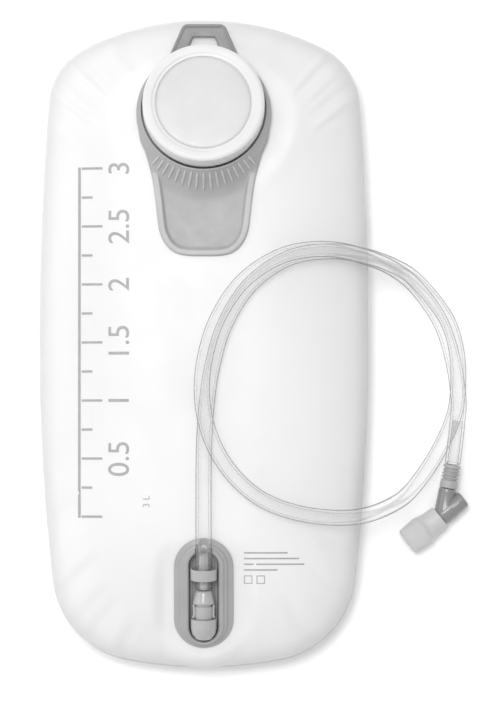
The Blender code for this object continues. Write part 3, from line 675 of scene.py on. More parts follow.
def bag_corner(end_radius, corner_radius, side_radius):
    """Centre of a corner arc that touches the bowed side and the bowed end, for y > 0."""
    end_y = BAG_HALF_LENGTH - end_radius
    side_x = BAG_HALF_WIDTH - side_radius
    to_end = end_radius - corner_radius
    to_side = side_radius - corner_radius
    apart = math.hypot(side_x, end_y)
    along = (to_side ** 2 - to_end ** 2 + apart ** 2) / (2 * apart)
    away = math.sqrt(to_side ** 2 - along ** 2)
    ux, uy = -side_x / apart, end_y / apart
    first = (side_x + ux * along - uy * away, uy * along + ux * away)
    second = (side_x + ux * along + uy * away, uy * along - ux * away)
    return max(first, second, key=lambda point: point[1])


def bag_quarter(end_radius, corner_radius, side_radius):
    """Outline from the middle of the end to the middle of the side, for x, y > 0."""
    end_y = BAG_HALF_LENGTH - end_radius
    side_x = BAG_HALF_WIDTH - side_radius
    cx, cy = bag_corner(end_radius, corner_radius, side_radius)
    end_turn = math.atan2(cy - end_y, cx)
    side_turn = math.atan2(cy, cx - side_x)
    end_arc = arc((0, end_y), end_radius, math.pi / 2, end_turn, 22)
    corner = arc((cx, cy), corner_radius, end_turn, side_turn, 24)
    side = arc((side_x, 0), side_radius, side_turn, 0, 34)
    return end_arc + corner[1:] + side[1:]


def bag_outline():
    """The whole outline, clockwise from the middle of the top end."""
    upper = bag_quarter(TOP_END_RADIUS, TOP_CORNER_RADIUS, UPPER_SIDE_RADIUS)
    lower = bag_quarter(BOTTOM_END_RADIUS, BOTTOM_CORNER_RADIUS, LOWER_SIDE_RADIUS)
    right = upper + [(x, -y) for x, y in reversed(lower)][1:]
    left = [(-x, y) for x, y in reversed(right)][1:-1]
    return right + left


def mouth_plane(y):
    """Height of the film where the neck holds it flat."""
    return MOUTH.z - (y - MOUTH.y) * math.tan(MOUTH_FILM_TILT)


def port_plane(y):
    """Height of the film where the port's plate holds it flat."""
    return PORT_CENTRE.z + (y - PORT_CENTRE.y) * math.tan(PORT_TILT)


def flattened(x, y, height):
    """The front's height where the welded mouth and port hold the film flat."""
    along = y - MOUTH.y
    if along > 0:
        along *= MOUTH_FLAT_SQUEEZE
    hold = ease((MOUTH_FLAT_RADIUS - Vector((x, along)).length) / MOUTH_BLEND)
    height += (mouth_plane(y) - height) * hold
    reach = max(0, abs(y - PORT_CENTRE.y) - (PORT_LENGTH - PORT_WIDTH) / 2)
    past_plate = Vector((x, reach)).length - PORT_WIDTH / 2
    hold = ease(1 - (past_plate - PORT_FLAT_MARGIN) / PORT_BLEND)
    return min(BAG_HEIGHT, height + (port_plane(y) - height) * hold)


def panel(rings, outline, height, faces_up):
    """A sheet from the bag's spine to the seam's rim, facing up or down.

    Each ring is a share of the outline and a height, which the height function adapts.
    """
    rows = []
    for share, plain in rings:
        row = []
        for index, (x, y) in enumerate(outline):
            px = x * share
            py = y * (0.5 + 0.5 * share)
            turn = 2 * math.pi * index / len(outline)
            row.append((px, py, height(px, py, share, turn, plain)))
        rows.append(row)
    bm = bmesh.new()
    loft_rings(bm, rows, "open")
    bmesh.ops.remove_doubles(bm, verts=bm.verts, dist=0.02 * MM)
    mesh = mesh_from(bm, 30)
    facing = sum(face.normal.z * face.area for face in mesh.polygons)
    if (facing > 0) != faces_up:
        mesh.flip_normals()
    return mesh


def pucker(turn, seed):
    """Uneven gathers along the seam, as a sum of waves round the outline."""
    wave = math.sin(31 * turn + seed) + 0.7 * math.sin(53 * turn + 2.1 * seed) + 0.5 * math.sin(83 * turn)
    return wave / 2.2


def front_height(x, y, share, turn, plain):
    """The front film's height, with gathers near the seam that run further in at the bag's ends."""
    if share == 1:
        return SEAM_HEIGHT + RIM_HALF_GAP
    near_end = ease((abs(y) - 75 * MM) / (40 * MM))
    off_axis = ease((abs(x) - 34 * MM) / (16 * MM))
    ends = near_end * off_axis
    gather = (SEAM_GATHER + END_GATHER * ends) * pucker(turn, 0.7)
    gather *= ease((share - 0.8 + 0.14 * ends) / 0.14) * ease((1 - share) / 0.04)
    return flattened(x, y, plain) + gather


def back_height(x, y, share, turn, plain):
    """The back film's height, with gathers near the seam, and never under the table."""
    if share == 1:
        return SEAM_HEIGHT - RIM_HALF_GAP
    gather = SEAM_GATHER * pucker(turn, 2.9) * ease((share - 0.85) / 0.1) * ease((1 - share) / 0.04)
    return max(0, plain + gather)


def make_bag(mat):
    """Front and back film with a welded rim, cut for the mouth and the port."""
    outline = bag_outline()
    rim_share = 1 - SEAM_RIM / BAG_HALF_WIDTH
    low = SEAM_HEIGHT + SEAM_HALF_GAP
    rings = []
    for i in range(FRONT_RINGS + 1):
        turn = math.pi / 2 * i / FRONT_RINGS
        share = math.sin(turn) ** (2 / 3)
        rings.append((share * rim_share, low + (BAG_HEIGHT - SEAM_HEIGHT) * math.cos(turn)))
    sheet = panel(rings + [(1.0, low)], outline, front_height, True)
    front = add_object("front_film", sheet, WORLD, mat, "reservoir")
    thicken(front, FILM)
    combine(front, cutter(rod_mesh(NECK_RADIUS + 0.2 * MM, -30 * MM, 30 * MM, 96), NECK))
    hole = prism_mesh(stadium(10.0 * MM, POCKET_HALF_STRAIGHT), -20 * MM, 20 * MM)
    combine(front, cutter(hole, POCKET))
    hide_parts("bag_front_film")

    high = SEAM_HEIGHT - SEAM_HALF_GAP
    rings = [(0.0, 0.0), (0.4 * rim_share, 0.0)]
    for i in range(BACK_RINGS + 1):
        turn = math.pi / 2 * i / BACK_RINGS
        share = FLAT_BACK_SHARE + (1 - FLAT_BACK_SHARE) * math.sin(turn)
        rings.append((share * rim_share, high * (1 - math.cos(turn))))
    sheet = panel(rings + [(1.0, high)], outline, back_height, False)
    back = add_object("back_film", sheet, WORLD, mat, "reservoir")
    thicken(back, FILM)
    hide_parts("bag_back_film")
    return front


# ---- handle

COLLAR_BORE = 31.6
COLLAR_LEDGE = 35.4
COLLAR_GROOVE = 7.0
GROOVE_FALL = 3.6
COLLAR_RIM_INSIDE = 37.3
COLLAR_RIM = 38.2
COLLAR_RIM_TOP = 9.6
COLLAR_TOP = 9.0
SLOPE_START = COLLAR_RIM_TOP - 0.3
SLOPE_RUN = 11.2
SLOPE_DROP = 14.4
RIB_COUNT = 17
RIB_FAN = math.radians(84)
RIB_LENGTH = 12.0 * MM
RIB_SHORTENING = 4.4 * MM
RIB_HALF_WIDTH = 0.85 * MM
RIB_HEIGHT = 1.2 * MM
RIB_SINK = 0.12 * MM
RIB_STEPS = 16
TAB_BASE = BAG_HEIGHT + 0.3 * MM
TAB_TOP = TAB_BASE + 2.6 * MM
TAB_FLOOR = TAB_BASE + 0.9 * MM
TAB_WALL = 1.9 * MM
TAB_DIP = 0.35 * MM
TAB_DIP_CENTRE = 68 * MM
TAB_EDGE = 1.1 * MM
SLOPE_BLEND = 0.9 * MM
BORDER_WIDTH = 3.4 * MM
LOOP_BACK = 0.6 * MM
LOOP_FRONT = 2.45 * MM
LOOP_BORDER_RISE = 0.55 * MM
LOOP_GROOVE = 0.2 * MM
BORDER_TOP = 101 * MM
HANDLE_HALF_WIDTH = 40.2
HANDLE_TOP_REACH = 38.0
HANDLE_END = 51.5
HANDLE_TURN = 104
RIBBED_RAYS = 340
PLAIN_RAYS = 160
RAY_STEPS = 64
HANDLE_SIDE = [
    (37.8, 120.5), (34.8, 113.5), (33.1, 107.5), (31.3, 100.5), (30.0, 93.5), (28.7, 84.0),
    (27.6, 74.0), (26.2, 65.5), (22.6, 58.2), (17.0, 53.4), (9.5, 51.7),
]


def polygon_distance(points, outline):
    """Distance of each point to the closed outline, positive inside."""
    inside = np.zeros(len(points), bool)
    nearest = np.full(len(points), 1e9)
    corners = np.array(outline, float)
    for a, b in zip(corners, np.roll(corners, -1, 0)):
        leg = b - a
        share = np.clip(((points - a) @ leg) / max(leg @ leg, 1e-18), 0, 1)
        nearest = np.minimum(nearest, np.linalg.norm(points - a - share[:, None] * leg, axis=1))
        spans = (a[1] > points[:, 1]) != (b[1] > points[:, 1])
        if a[1] != b[1]:
            crossing = a[0] + (points[:, 1] - a[1]) * leg[0] / leg[1]
            inside ^= spans & (points[:, 0] < crossing)
    return np.where(inside, nearest, -nearest)


def relief_plate(inside, top, bottom, low, high, step):
    """A plate whose top follows top(points, depth), cut where inside(points) is negative.

    The grid's points just past the edge are drawn back on to it, so the edge is smooth.
    """
    xs = np.arange(low[0], high[0] + step, step)
    ys = np.arange(low[1], high[1] + step, step)
    grid = np.array([(x, y) for y in ys for x in xs])
    depth = inside(grid)
    wide = len(xs)
    cells = []
    for row in range(len(ys) - 1):
        for column in range(wide - 1):
            first = row * wide + column
            cell = (first, first + 1, first + wide + 1, first + wide)
            if any(depth[k] > 0 for k in cell):
                cells.append(cell)
    used = sorted({k for cell in cells for k in cell})
    spots = grid[used]
    small = 0.02 * MM
    for _ in range(4):
        here = inside(spots)
        outside = here < 0
        shift_x = (inside(spots + (small, 0)) - inside(spots - (small, 0))) / (2 * small)
        shift_y = (inside(spots + (0, small)) - inside(spots - (0, small))) / (2 * small)
        slope = np.stack((shift_x, shift_y), 1)
        slope /= np.maximum(np.linalg.norm(slope, axis=1), 1e-6)[:, None]
        spots = np.where(outside[:, None], spots - slope * here[:, None], spots)
    depth = np.maximum(inside(spots), 0)
    upper = top(spots, depth)
    lower = bottom(spots)
    number = {k: i for i, k in enumerate(used)}
    bm = bmesh.new()
    tops = [bm.verts.new((*spot, z)) for spot, z in zip(spots, upper)]
    bottoms = [bm.verts.new((*spot, z)) for spot, z in zip(spots, lower)]
    for cell in cells:
        bm.faces.new([tops[number[k]] for k in cell])
    edges = [edge for edge in bm.edges if edge.is_boundary]
    match = dict(zip(tops, bottoms))
    for cell in cells:
        bm.faces.new([bottoms[number[k]] for k in reversed(cell)])
    for edge in edges:
        a, b = edge.verts
        bm.faces.new((a, b, match[b], match[a]))
    bmesh.ops.remove_doubles(bm, verts=bm.verts, dist=0.005 * MM)
    return mesh_from(bm, 50)


def rounded_edge(depth, radius):
    """Share of full height at a depth inside the edge, for a quarter-round edge."""
    share = np.clip(depth / radius, 0, 1)
    return np.sqrt(1 - (1 - share) ** 2)


def mirrored(corners):
    left = [(-x, y, radius) for x, y, radius in reversed(corners)]
    return corners + left


def in_metres(outline):
    return [(x * MM, y * MM) for x, y in outline]


def handle_outline():
    """Plan of the handle: an arc round the mouth that runs down into the grip tab."""
    steps = 24
    right = []
    for i in range(steps + 1):
        turn = math.radians(90 - HANDLE_TURN * i / steps)
        right.append((HANDLE_HALF_WIDTH * math.cos(turn), MOUTH.y / MM + HANDLE_TOP_REACH * math.sin(turn)))
    right += HANDLE_SIDE
    left = [(-x, y) for x, y in reversed(right)][:-1]
    corners = right + [(0, HANDLE_END)] + left
    total = len(corners)
    points = []
    for i in range(total):
        a, b, c, d = (Vector(corners[(i + k) % total]) for k in (-1, 0, 1, 2))
        for step in range(4):
            spot = curve_point(a, b, c, d, step / 4)
            points.append((spot.x * MM, spot.y * MM))
    return points


def slope_height(points):
    """World height, over each point in plan, of the cone that falls from the collar's rim."""
    cos, sin = NECK_AXIS.z, NECK_AXIS.y
    along = points[:, 1] - MOUTH.y
    height = np.full(len(points), MOUTH.z + SLOPE_START * MM)
    for _ in range(14):
        across = along * cos - (height - MOUTH.z) * sin
        share = (np.hypot(points[:, 0], across) / MM - COLLAR_RIM) / SLOPE_RUN
        hollow = 0.07 * np.sin(math.pi * np.clip(share, 0, 1))
        local = SLOPE_START - SLOPE_DROP * (share + hollow)
        height = MOUTH.z + (local * MM - along * sin) / cos
    return height


def handle_height(points, outline):
    """Top of the slope and the grip tab, blended, with a quarter-round outer edge."""
    depth = np.maximum(polygon_distance(points, outline), 0)
    wall = 1 - ease((depth - BORDER_WIDTH) / TAB_WALL)
    across = points[:, 0] / (14 * MM)
    along = (points[:, 1] - TAB_DIP_CENTRE) / (12 * MM)
    dip = TAB_DIP * np.exp(-(across ** 2) - along ** 2)
    tray = TAB_FLOOR + (TAB_TOP - TAB_FLOOR) * wall - dip
    slope = slope_height(points)
    apart = np.sqrt((slope - tray) ** 2 / 4 + SLOPE_BLEND ** 2)
    top = (slope + tray) / 2 + apart - 0.5 * SLOPE_BLEND
    return top - TAB_EDGE * (1 - rounded_edge(depth, TAB_EDGE))


def outline_reach(turn, outline):
    """Where a ray in plan from the mouth's centre meets the outline."""
    direction = Vector((math.cos(turn), math.sin(turn)))
    start = MOUTH.xy
    best = 0.0
    for a, b in zip(outline, outline[1:] + outline[:1]):
        first, leg = Vector(a) - start, Vector(b) - Vector(a)
        cross = direction.x * leg.y - direction.y * leg.x
        if abs(cross) < 1e-15:
            continue
        share = (direction.y * first.x - direction.x * first.y) / cross
        reach = (first.x * leg.y - first.y * leg.x) / cross
        if 0 <= share <= 1:
            best = max(best, reach)
    return start + direction * best


def neck_point(radius, turn, height):
    """World place of a point given round the neck's axis, in mm."""
    return NECK @ Vector((radius * math.cos(turn) * MM, radius * math.sin(turn) * MM, height * MM))


def film_under(y):
    """Height of the handle's underside, just over the film."""
    return min(mouth_plane(y), BAG_HEIGHT) + 0.35 * MM


def collar_section():
    """Half section of the collar from its foot round to its rim, in mm along the neck's axes."""
    return rounded_profile([
        (COLLAR_BORE, 0.5, 0), (COLLAR_BORE, COLLAR_TOP, 0.3), (COLLAR_LEDGE, COLLAR_TOP, 0.25),
        (COLLAR_LEDGE, COLLAR_GROOVE, 0.3), (COLLAR_RIM_INSIDE, COLLAR_GROOVE, 0.3),
        (COLLAR_RIM_INSIDE, COLLAR_RIM_TOP, 0.35), (COLLAR_RIM, COLLAR_RIM_TOP, 0.4),
        (COLLAR_RIM + 1, SLOPE_START - 1.3, 0),
    ], 4)[:-1]


def make_handle(mat, painted_light_border_mat, painted_highlight_rib_mat):
    """Collar grooved round the cap, slope and grip tab in one skin, with a fan of ribs on it.

    The skin's sections run out along rays from the mouth, which are closer together below it.
    """
    outline = handle_outline()
    collar = collar_section()
    turns = [math.radians(-150 + 120 * i / RIBBED_RAYS) for i in range(RIBBED_RAYS + 1)]
    turns += [math.radians(-30 + 240 * i / PLAIN_RAYS) for i in range(1, PLAIN_RAYS)]
    rays = []
    for turn in turns:
        start = neck_point(collar[-1][0], turn, collar[-1][1]).xy
        edge = outline_reach(turn, outline)
        rays.append([start.lerp(edge, i / RAY_STEPS) for i in range(1, RAY_STEPS + 1)])
    spots = np.array([tuple(spot) for ray in rays for spot in ray])
    heights = handle_height(spots, outline).reshape(len(rays), RAY_STEPS)
    sections = []
    for turn, ray, tops in zip(turns, rays, heights):
        foot = 0.5 + COLLAR_BORE * math.sin(turn) * math.tan(NECK_TILT - MOUTH_FILM_TILT)
        deeper = GROOVE_FALL * (1 - math.sin(turn)) / 2
        section = [neck_point(COLLAR_BORE, turn, foot)]
        for radius, height in collar[1:]:
            in_groove = height < COLLAR_GROOVE + 0.1
            section.append(neck_point(radius, turn, height - deeper if in_groove else height))
        highest = section[-1].z + 0.1 * MM
        for spot, top in zip(ray, tops):
            lowest = film_under(spot.y) + 0.2 * MM
            section.append(Vector((spot.x, spot.y, max(min(top, highest), lowest))))
        for spot in (ray[-1], section[0].xy.lerp(ray[-1], 0.5)):
            section.append(Vector((spot.x, spot.y, film_under(spot.y))))
        sections.append(section)
    mesh = lofted_mesh(sections, "joined", 50)
    body = add_object("handle_body", mesh, WORLD, mat, "reservoir")
    # Painted light: the border's faces take a lighter copy of the handle's TPU, for the light its rim
    # catches.
    body.data.materials.append(painted_light_border_mat)
    centres = np.array([tuple(face.center.xy) for face in body.data.polygons])
    depth = polygon_distance(centres, outline)
    for face, away in zip(body.data.polygons, depth):
        if away < BORDER_WIDTH and face.center.y < BORDER_TOP:
            face.material_index = 1
    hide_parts("handle")
    # The ribs take a lighter copy of the handle's TPU: painted highlight on their crests.
    make_ribs(outline, painted_highlight_rib_mat)


def make_ribs(outline, mat):
    """Thin round-backed ribs that follow the slope and fade out at both ends."""
    bm = bmesh.new()
    for i in range(RIB_COUNT):
        place_in_fan = i / (RIB_COUNT - 1) - 0.5
        turn = -math.pi / 2 + RIB_FAN * place_in_fan
        from_middle = abs(2 * place_in_fan)
        length = RIB_LENGTH - RIB_SHORTENING * from_middle
        rim = neck_point(COLLAR_RIM, turn, SLOPE_START)
        away = (neck_point(COLLAR_RIM + 10, turn, SLOPE_START) - rim).xy.normalized()
        begin = rim.xy + away * 1.0 * MM
        plan = np.array([tuple(begin + away * length * k / (RIB_STEPS - 1)) for k in range(RIB_STEPS)])
        spine = [Vector((x, y, z)) for (x, y), z in zip(plan, handle_height(plan, outline))]
        side = Vector((-away.y, away.x, 0))
        rings = []
        for k, spot in enumerate(spine):
            ahead = (spine[min(k + 1, RIB_STEPS - 1)] - spine[max(k - 1, 0)]).normalized()
            up = side.cross(ahead)
            if up.z < 0:
                up.negate()
            share = k / (RIB_STEPS - 1)
            size = 0.25 + 0.75 * ease(share / 0.18) * ease((1 - share) / 0.3)
            ring = []
            for step in range(9):
                bend = math.pi * step / 8
                ring.append(
                    spot + side * RIB_HALF_WIDTH * size * math.cos(bend)
                    + up * (RIB_HEIGHT * size * math.sin(bend) - RIB_SINK)
                )
            rings.append(ring)
        loft_rings(bm, rings)
    add_object("handle_ribs", mesh_from(bm, 60), WORLD, mat, "reservoir")


def make_hang_loop(mat):
    """Flat loop with a raised border and the hole for a hook."""
    to_film = MOUTH_FILM.inverted()

    def on_film(corners, count):
        placed = []
        for x, y in in_metres(rounded_profile(mirrored(corners), count)):
            local = to_film @ Vector((x, y, mouth_plane(y)))
            placed.append((local.x, local.y))
        return placed

    outline = on_film([(12.4, 190.6, 4.5), (20.0, 173, 2), (26, 161.5, 1)], 8)
    hole = on_film([(6.6, 182.6, 1.6), (9.0, 176.0, 1)], 6)

    def inside(points):
        return np.minimum(polygon_distance(points, outline), -polygon_distance(points, hole))

    def top(points, depth):
        edge = polygon_distance(points, outline)
        groove = np.exp(-((edge - 2.1 * MM) / (0.45 * MM)) ** 2)
        flat = LOOP_FRONT + LOOP_BORDER_RISE * (1 - ease((edge - 1.5 * MM) / (0.8 * MM)))
        share = 0.3 + 0.7 * rounded_edge(depth, 0.7 * MM)
        return LOOP_BACK + (flat - LOOP_BACK - LOOP_GROOVE * groove) * share

    mesh = relief_plate(
        inside, top, lambda points: np.full(len(points), LOOP_BACK),
        (-28 * MM, 23 * MM), (28 * MM, 54 * MM), 0.45 * MM,
    )
    add_object("hang_loop", mesh, MOUTH_FILM, mat, "reservoir")


# ---- cap

THREAD_STARTS = 4
THREAD_SWEEP = math.radians(69)
THREAD_LEAD = 16 * MM
THREAD_FOOT = 11 * MM
THREAD_ROOT = 33.8 * MM
THREAD_DEPTH = 2.2 * MM


def make_cap(mat, disc_mat):
    """Cap shell with a soft rim and a groove, its domed disc, and the thread it screws on by."""
    profile = rounded_profile([
        (28.8, 21.2, 0), (28.8, 22.4, 0.3), (30.4, 22.5, 0.8), (31.2, 23.0, 0.8), (34.4, 23.1, 2.0),
        (36.3, 22.3, 1.5), (36.3, 9.7, 0.7), (33.8, 9.7, 0.4), (33.8, 20.3, 0.4), (27.1, 20.3, 0),
        (27.1, 17.0, 0.4), (25.4, 17.0, 0.4), (25.4, 21.2, 0),
    ], 5)
    shell = add_object("screw_cap_shell", turned_mesh(profile, 160), NECK, mat, "cap")
    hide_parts("cap_shell")
    dome = [
        (0, 22.95), (7, 22.92), (14, 22.8), (20, 22.55), (25, 22.25), (27.0, 22.05), (27.9, 21.8),
        (28.2, 21.5), (0, 21.5),
    ]
    mesh = turned_mesh(dome, 160)
    disc = add_object("screw_cap_disc", mesh, NECK, disc_mat, "cap")
    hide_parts("cap_disc")
    make_cap_thread(mat)


def make_cap_thread(mat):
    """Thread inside the cap, in four starts that fade out at both ends."""
    bm = bmesh.new()
    steps = 20
    for start in range(THREAD_STARTS):
        base = 2 * math.pi * (start + 0.5) / THREAD_STARTS
        rows = []
        for i in range(steps + 1):
            turn = THREAD_SWEEP * i / steps
            rise = THREAD_FOOT + THREAD_LEAD * turn / (2 * math.pi)
            grow = min(1, 6 * i / steps, 6 * (steps - i) / steps) * THREAD_DEPTH
            section = [
                (THREAD_ROOT + 0.4 * MM, -0.75 * MM), (THREAD_ROOT + 0.4 * MM, 0.75 * MM),
                (THREAD_ROOT - grow, 0.5 * MM), (THREAD_ROOT - grow, -0.5 * MM),
            ]
            cos, sin = math.cos(base + turn), math.sin(base + turn)
            rows.append([(radius * cos, radius * sin, rise + offset) for radius, offset in section])
        loft_rings(bm, rows)
    add_object("screw_cap_thread", mesh_from(bm), NECK, mat, "cap")


# ---- port

PLATE_EDGE = 17.7
PLATE_SLOPE = 9.0

# Latch arm of the plug, in mm: height along the plug, size and distance outwards
LATCH_REACH = 5.4
LATCH_STATIONS = [
    (-5.8, 0.7, 0.3), (-6.2, 1.0, 0.55), (-8.0, 1.0, 0.45), (-12.6, 1.0, 0.3), (-13.4, 1.15, 0.6),
    (-14.0, 1.15, 0.6), (-14.5, 0.8, 0.2),
]


def make_port(mat, body_mat):
    """Stepped soft plate with its pocket, and the rigid cradle, cup and bridge in the pocket."""
    sections = rounded_profile([
        (PLATE_EDGE, 0.3, 0), (PLATE_EDGE, 1.5, 0.5), (14.6, 1.9, 0.5), (14.0, 3.0, 0.5), (12.4, 3.3, 0.5),
        (11.5, 4.6, 0.8), (9.3, 4.6, 0.9), (8.6, 3.0, 1.0), (8.55, -5.0, 0.6), (0.4, -5.0, 0),
        (0.4, -6.1, 0), (9.75, -6.1, 0.6), (9.75, 0.3, 0),
    ], 4)
    rings = []
    for radius, height in sections:
        inward = ease((PLATE_EDGE - radius) / PLATE_SLOPE)
        half_straight = PLATE_HALF_STRAIGHT + (POCKET_HALF_STRAIGHT - PLATE_HALF_STRAIGHT) * inward
        shift = POCKET_SHIFT * inward
        rings.append([(x, y + shift, height * MM) for x, y in stadium(radius * MM, half_straight, 40)])
    mesh = lofted_mesh(rings, "joined", 50)
    flange = add_object("port_plate", mesh, PORT, mat, "reservoir")
    channel = PORT @ Matrix.Translation(CHANNEL_START)
    channel = channel @ Matrix.Rotation(math.radians(-90) + CHANNEL_RISE, 4, "X")
    combine(flange, cutter(rod_mesh(CHANNEL_RADIUS, 0, 40 * MM), channel))
    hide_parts("port_flange")

    cup = rounded_profile([
        (5.35, -14.9, 0.25), (7.75, -14.9, 0.45), (7.75, -20.8, 2.5), (7.0, -24.2, 3.0), (4.6, -27.4, 2.5),
        (0.01, -28.2, 0), (0.01, -26.0, 0), (4.5, -26.0, 0), (4.5, -20.4, 0), (3.0, -20.4, 0),
        (3.0, -19.6, 0), (5.35, -19.6, 0),
    ], 5)
    body = add_object("port_cup", turned_mesh(cup), PLUG, body_mat, "reservoir")
    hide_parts("port_body")
    cradle = rounded_profile([
        (8.2, -4.6, 0.3), (8.2, -3.6, 0.3), (6.9, -3.6, 0.3), (6.5, -4.1, 0.2), (0.4, -4.1, 0),
        (0.4, -4.6, 0),
    ], 3)
    rings = []
    for radius, height in cradle:
        rings.append([(x, y, height * MM) for x, y in stadium(radius * MM, POCKET_HALF_STRAIGHT, 32)])
    mesh = lofted_mesh(rings, "joined")
    add_object("port_cradle", mesh, POCKET, body_mat, "reservoir")
    bridge = rounded_profile([(7.95, 15.6, 0.3), (7.95, 8.9, 0.3), (7.0, 8.9, 0.3), (7.0, 15.6, 0.3)], 4)
    add_object("port_bridge", turned_mesh(bridge), PLUG, body_mat, "reservoir")


def make_plug(mat):
    """Collar and body of the hose plug, with its two latch arms and thumb edges."""
    profile = rounded_profile([
        (2.3, -19.0, 0), (2.3, 2.4, 0), (4.2, 2.4, 0.3), (4.9, 1.6, 0.4), (5.6, -1.0, 3.0),
        (6.5, -4.3, 0.5), (6.5, -5.5, 0.4), (5.6, -5.9, 0.2), (4.5, -6.0, 0.2), (4.5, -7.0, 0.2),
        (5.25, -7.4, 0.3), (5.25, -14.5, 0.2), (4.9, -14.6, 0), (4.9, -15.4, 0.1), (3.9, -15.4, 0),
        (3.9, -17.2, 0), (4.9, -17.2, 0.1), (4.7, -19.0, 0.3),
    ], 4)
    plug = add_object("quick_plug", turned_mesh(profile, 80), PLUG, mat, "hose")
    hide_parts("hose_plug")
    bm = bmesh.new()
    section = rounded_profile([(-1.6, -0.7, 0.4), (1.6, -0.7, 0.4), (1.6, 0.7, 0.4), (-1.6, 0.7, 0.4)], 3)
    for side in (-1, 1):
        rings = []
        for height, grow, out in LATCH_STATIONS:
            middle = side * (LATCH_REACH + out)
            ring = [(middle + side * y * grow, x * grow, height) for x, y in section]
            rings.append([Vector(spot) * MM for spot in ring])
        loft_rings(bm, rings)
    add_object("plug_latch_arms", mesh_from(bm), PLUG, mat, "hose")


# ---- mouthpiece

def make_sleeve(mat):
    """Sleeve over the tube's end, with four round ribs."""
    corners = [(2.6, 0.1, 0), (2.6, 14.3, 0), (4.9, 14.3, 0.2), (5.2, 13.8, 0.4)]
    for i in reversed(range(4)):
        at = 2.6 + 2.1 * i
        corners += [(5.2, at + 0.75, 0.25), (4.1, at + 0.3, 0.15)]
        corners += [(4.1, at - 0.3, 0.15), (5.2, at - 0.75, 0.25)]
    corners += [(5.2, 0.6, 0.4), (4.7, 0.1, 0.3)]
    mesh = turned_mesh(rounded_profile(corners, 3), 64)
    sleeve = add_object("ribbed_sleeve", mesh, SLEEVE, mat, "hose")
    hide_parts("tube_sleeve")
    return sleeve


def make_elbow(mat, mark_mat):
    """Inlet and barrel in one, with a raised bar that the bite valve is turned against."""
    barrel = rounded_profile([
        (4.75, 0, 0.1), (5.9, 0, 0.3), (6.05, -3.0, 3), (5.85, -8.0, 8), (5.15, -17.0, 0.8),
        (4.55, -17.6, 0.2),
    ], 4)
    elbow = add_object("angled_valve", turned_mesh(barrel, 72), BARREL, mat, "hose")
    inlet = rounded_profile([
        (0.01, 14.7, 0), (5.05, 14.7, 0.3), (5.3, 16.5, 3), (5.3, 29.5, 0), (0.01, 29.5, 0),
    ], 4)
    tube_part = cutter(turned_mesh(inlet, 72), SLEEVE)
    reach = 20 * MM
    square = [(-reach, -reach), (reach, -reach), (reach, reach), (-reach, reach)]
    combine(tube_part, cutter(prism_mesh(square, -0.3 * MM, reach), BARREL))
    combine(elbow, tube_part, "UNION")
    combine(elbow, cutter(rod_mesh(4.7 * MM, -30 * MM, 10 * MM), BARREL))
    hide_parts("valve_elbow")
    end = rounded_profile([
        (0.01, -14.2, 0), (4.4, -14.2, 0.3), (4.4, -17.5, 0.4), (3.6, -17.7, 0.3), (0.01, -17.4, 0),
    ], 4)
    plug = add_object("barrel_cap", turned_mesh(end, 64), BARREL, mat, "hose")
    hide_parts("barrel_end_plug")
    return [elbow, plug, make_turn_mark(mark_mat)]


def make_turn_mark(mat):
    """Raised bar along the top of the barrel."""
    half_length, half_width, rise = 2.7 * MM, 0.75 * MM, 0.4 * MM
    barrel_radius = 5.62 * MM
    centre = BARREL @ Vector((0, 0, -11.2 * MM))
    side = BARREL_AXIS.cross(Vector((0, 0, 1))).normalized()
    steps = 14
    rows = []
    for i in range(steps + 1):
        place_along = 2 * i / steps - 1
        size = max(0.1, 1 - abs(place_along) ** 6) ** 0.5
        row = []
        for cos, sin in circle(12):
            across = half_width * size * cos
            height = math.sqrt(barrel_radius ** 2 - across ** 2) + rise * size * sin
            along = BARREL_AXIS * half_length * place_along
            row.append(centre + along + side * across + Vector((0, 0, height)))
        rows.append(row)
    return add_object("turn_mark", lofted_mesh(rows), WORLD, mat, "hose")


def make_bite_valve(mat):
    """Round collar that pinches in at a crease, then flattens to a wide bite end with a slit.

    Sections are (height, half width, half thickness), up the outside and back down the bore.
    """
    sections = [
        (0.3, 5.3, 5.3), (0.3, 6.8, 6.8), (0.6, 7.2, 7.2), (1.0, 7.35, 7.3), (4.0, 7.55, 7.45),
        (8.0, 7.85, 7.55), (10.2, 8.25, 7.4), (10.9, 8.4, 6.6), (11.5, 8.55, 5.9), (12.1, 8.75, 6.0),
        (13.2, 9.05, 6.7), (14.2, 9.2, 6.85), (15.2, 9.2, 6.4), (17.0, 9.1, 5.8), (19.0, 8.95, 5.3),
        (22.0, 8.7, 4.6), (24.0, 8.5, 4.2), (25.1, 8.2, 3.85), (25.7, 7.6, 3.3), (25.9, 6.6, 2.5),
        (25.9, 4.6, 0.5), (24.5, 4.4, 0.22), (17.0, 2.0, 0.6), (15.0, 2.6, 1.6), (11.4, 3.0, 3.0),
        (11.0, 5.3, 5.3),
    ]
    rings = []
    for height, half_width, half_thickness in sections:
        power = 1 if height < 12 else 0.9
        ring = []
        for cos, sin in circle(72):
            across = half_width * math.copysign(abs(cos) ** power, cos)
            through = half_thickness * math.copysign(abs(sin) ** power, sin)
            ring.append((across * MM, through * MM, height * MM))
        rings.append(ring)
    mesh = lofted_mesh(rings, "joined", 50)
    valve = add_object("soft_bite_valve", mesh, BARREL, mat, "mouthpiece")
    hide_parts("bite_valve")
    return valve


# ---- print

INK_LIFT = 0.12 * MM
INK_THICKNESS = 0.08 * MM
FONT_SIZE_PER_HEIGHT = 1.38


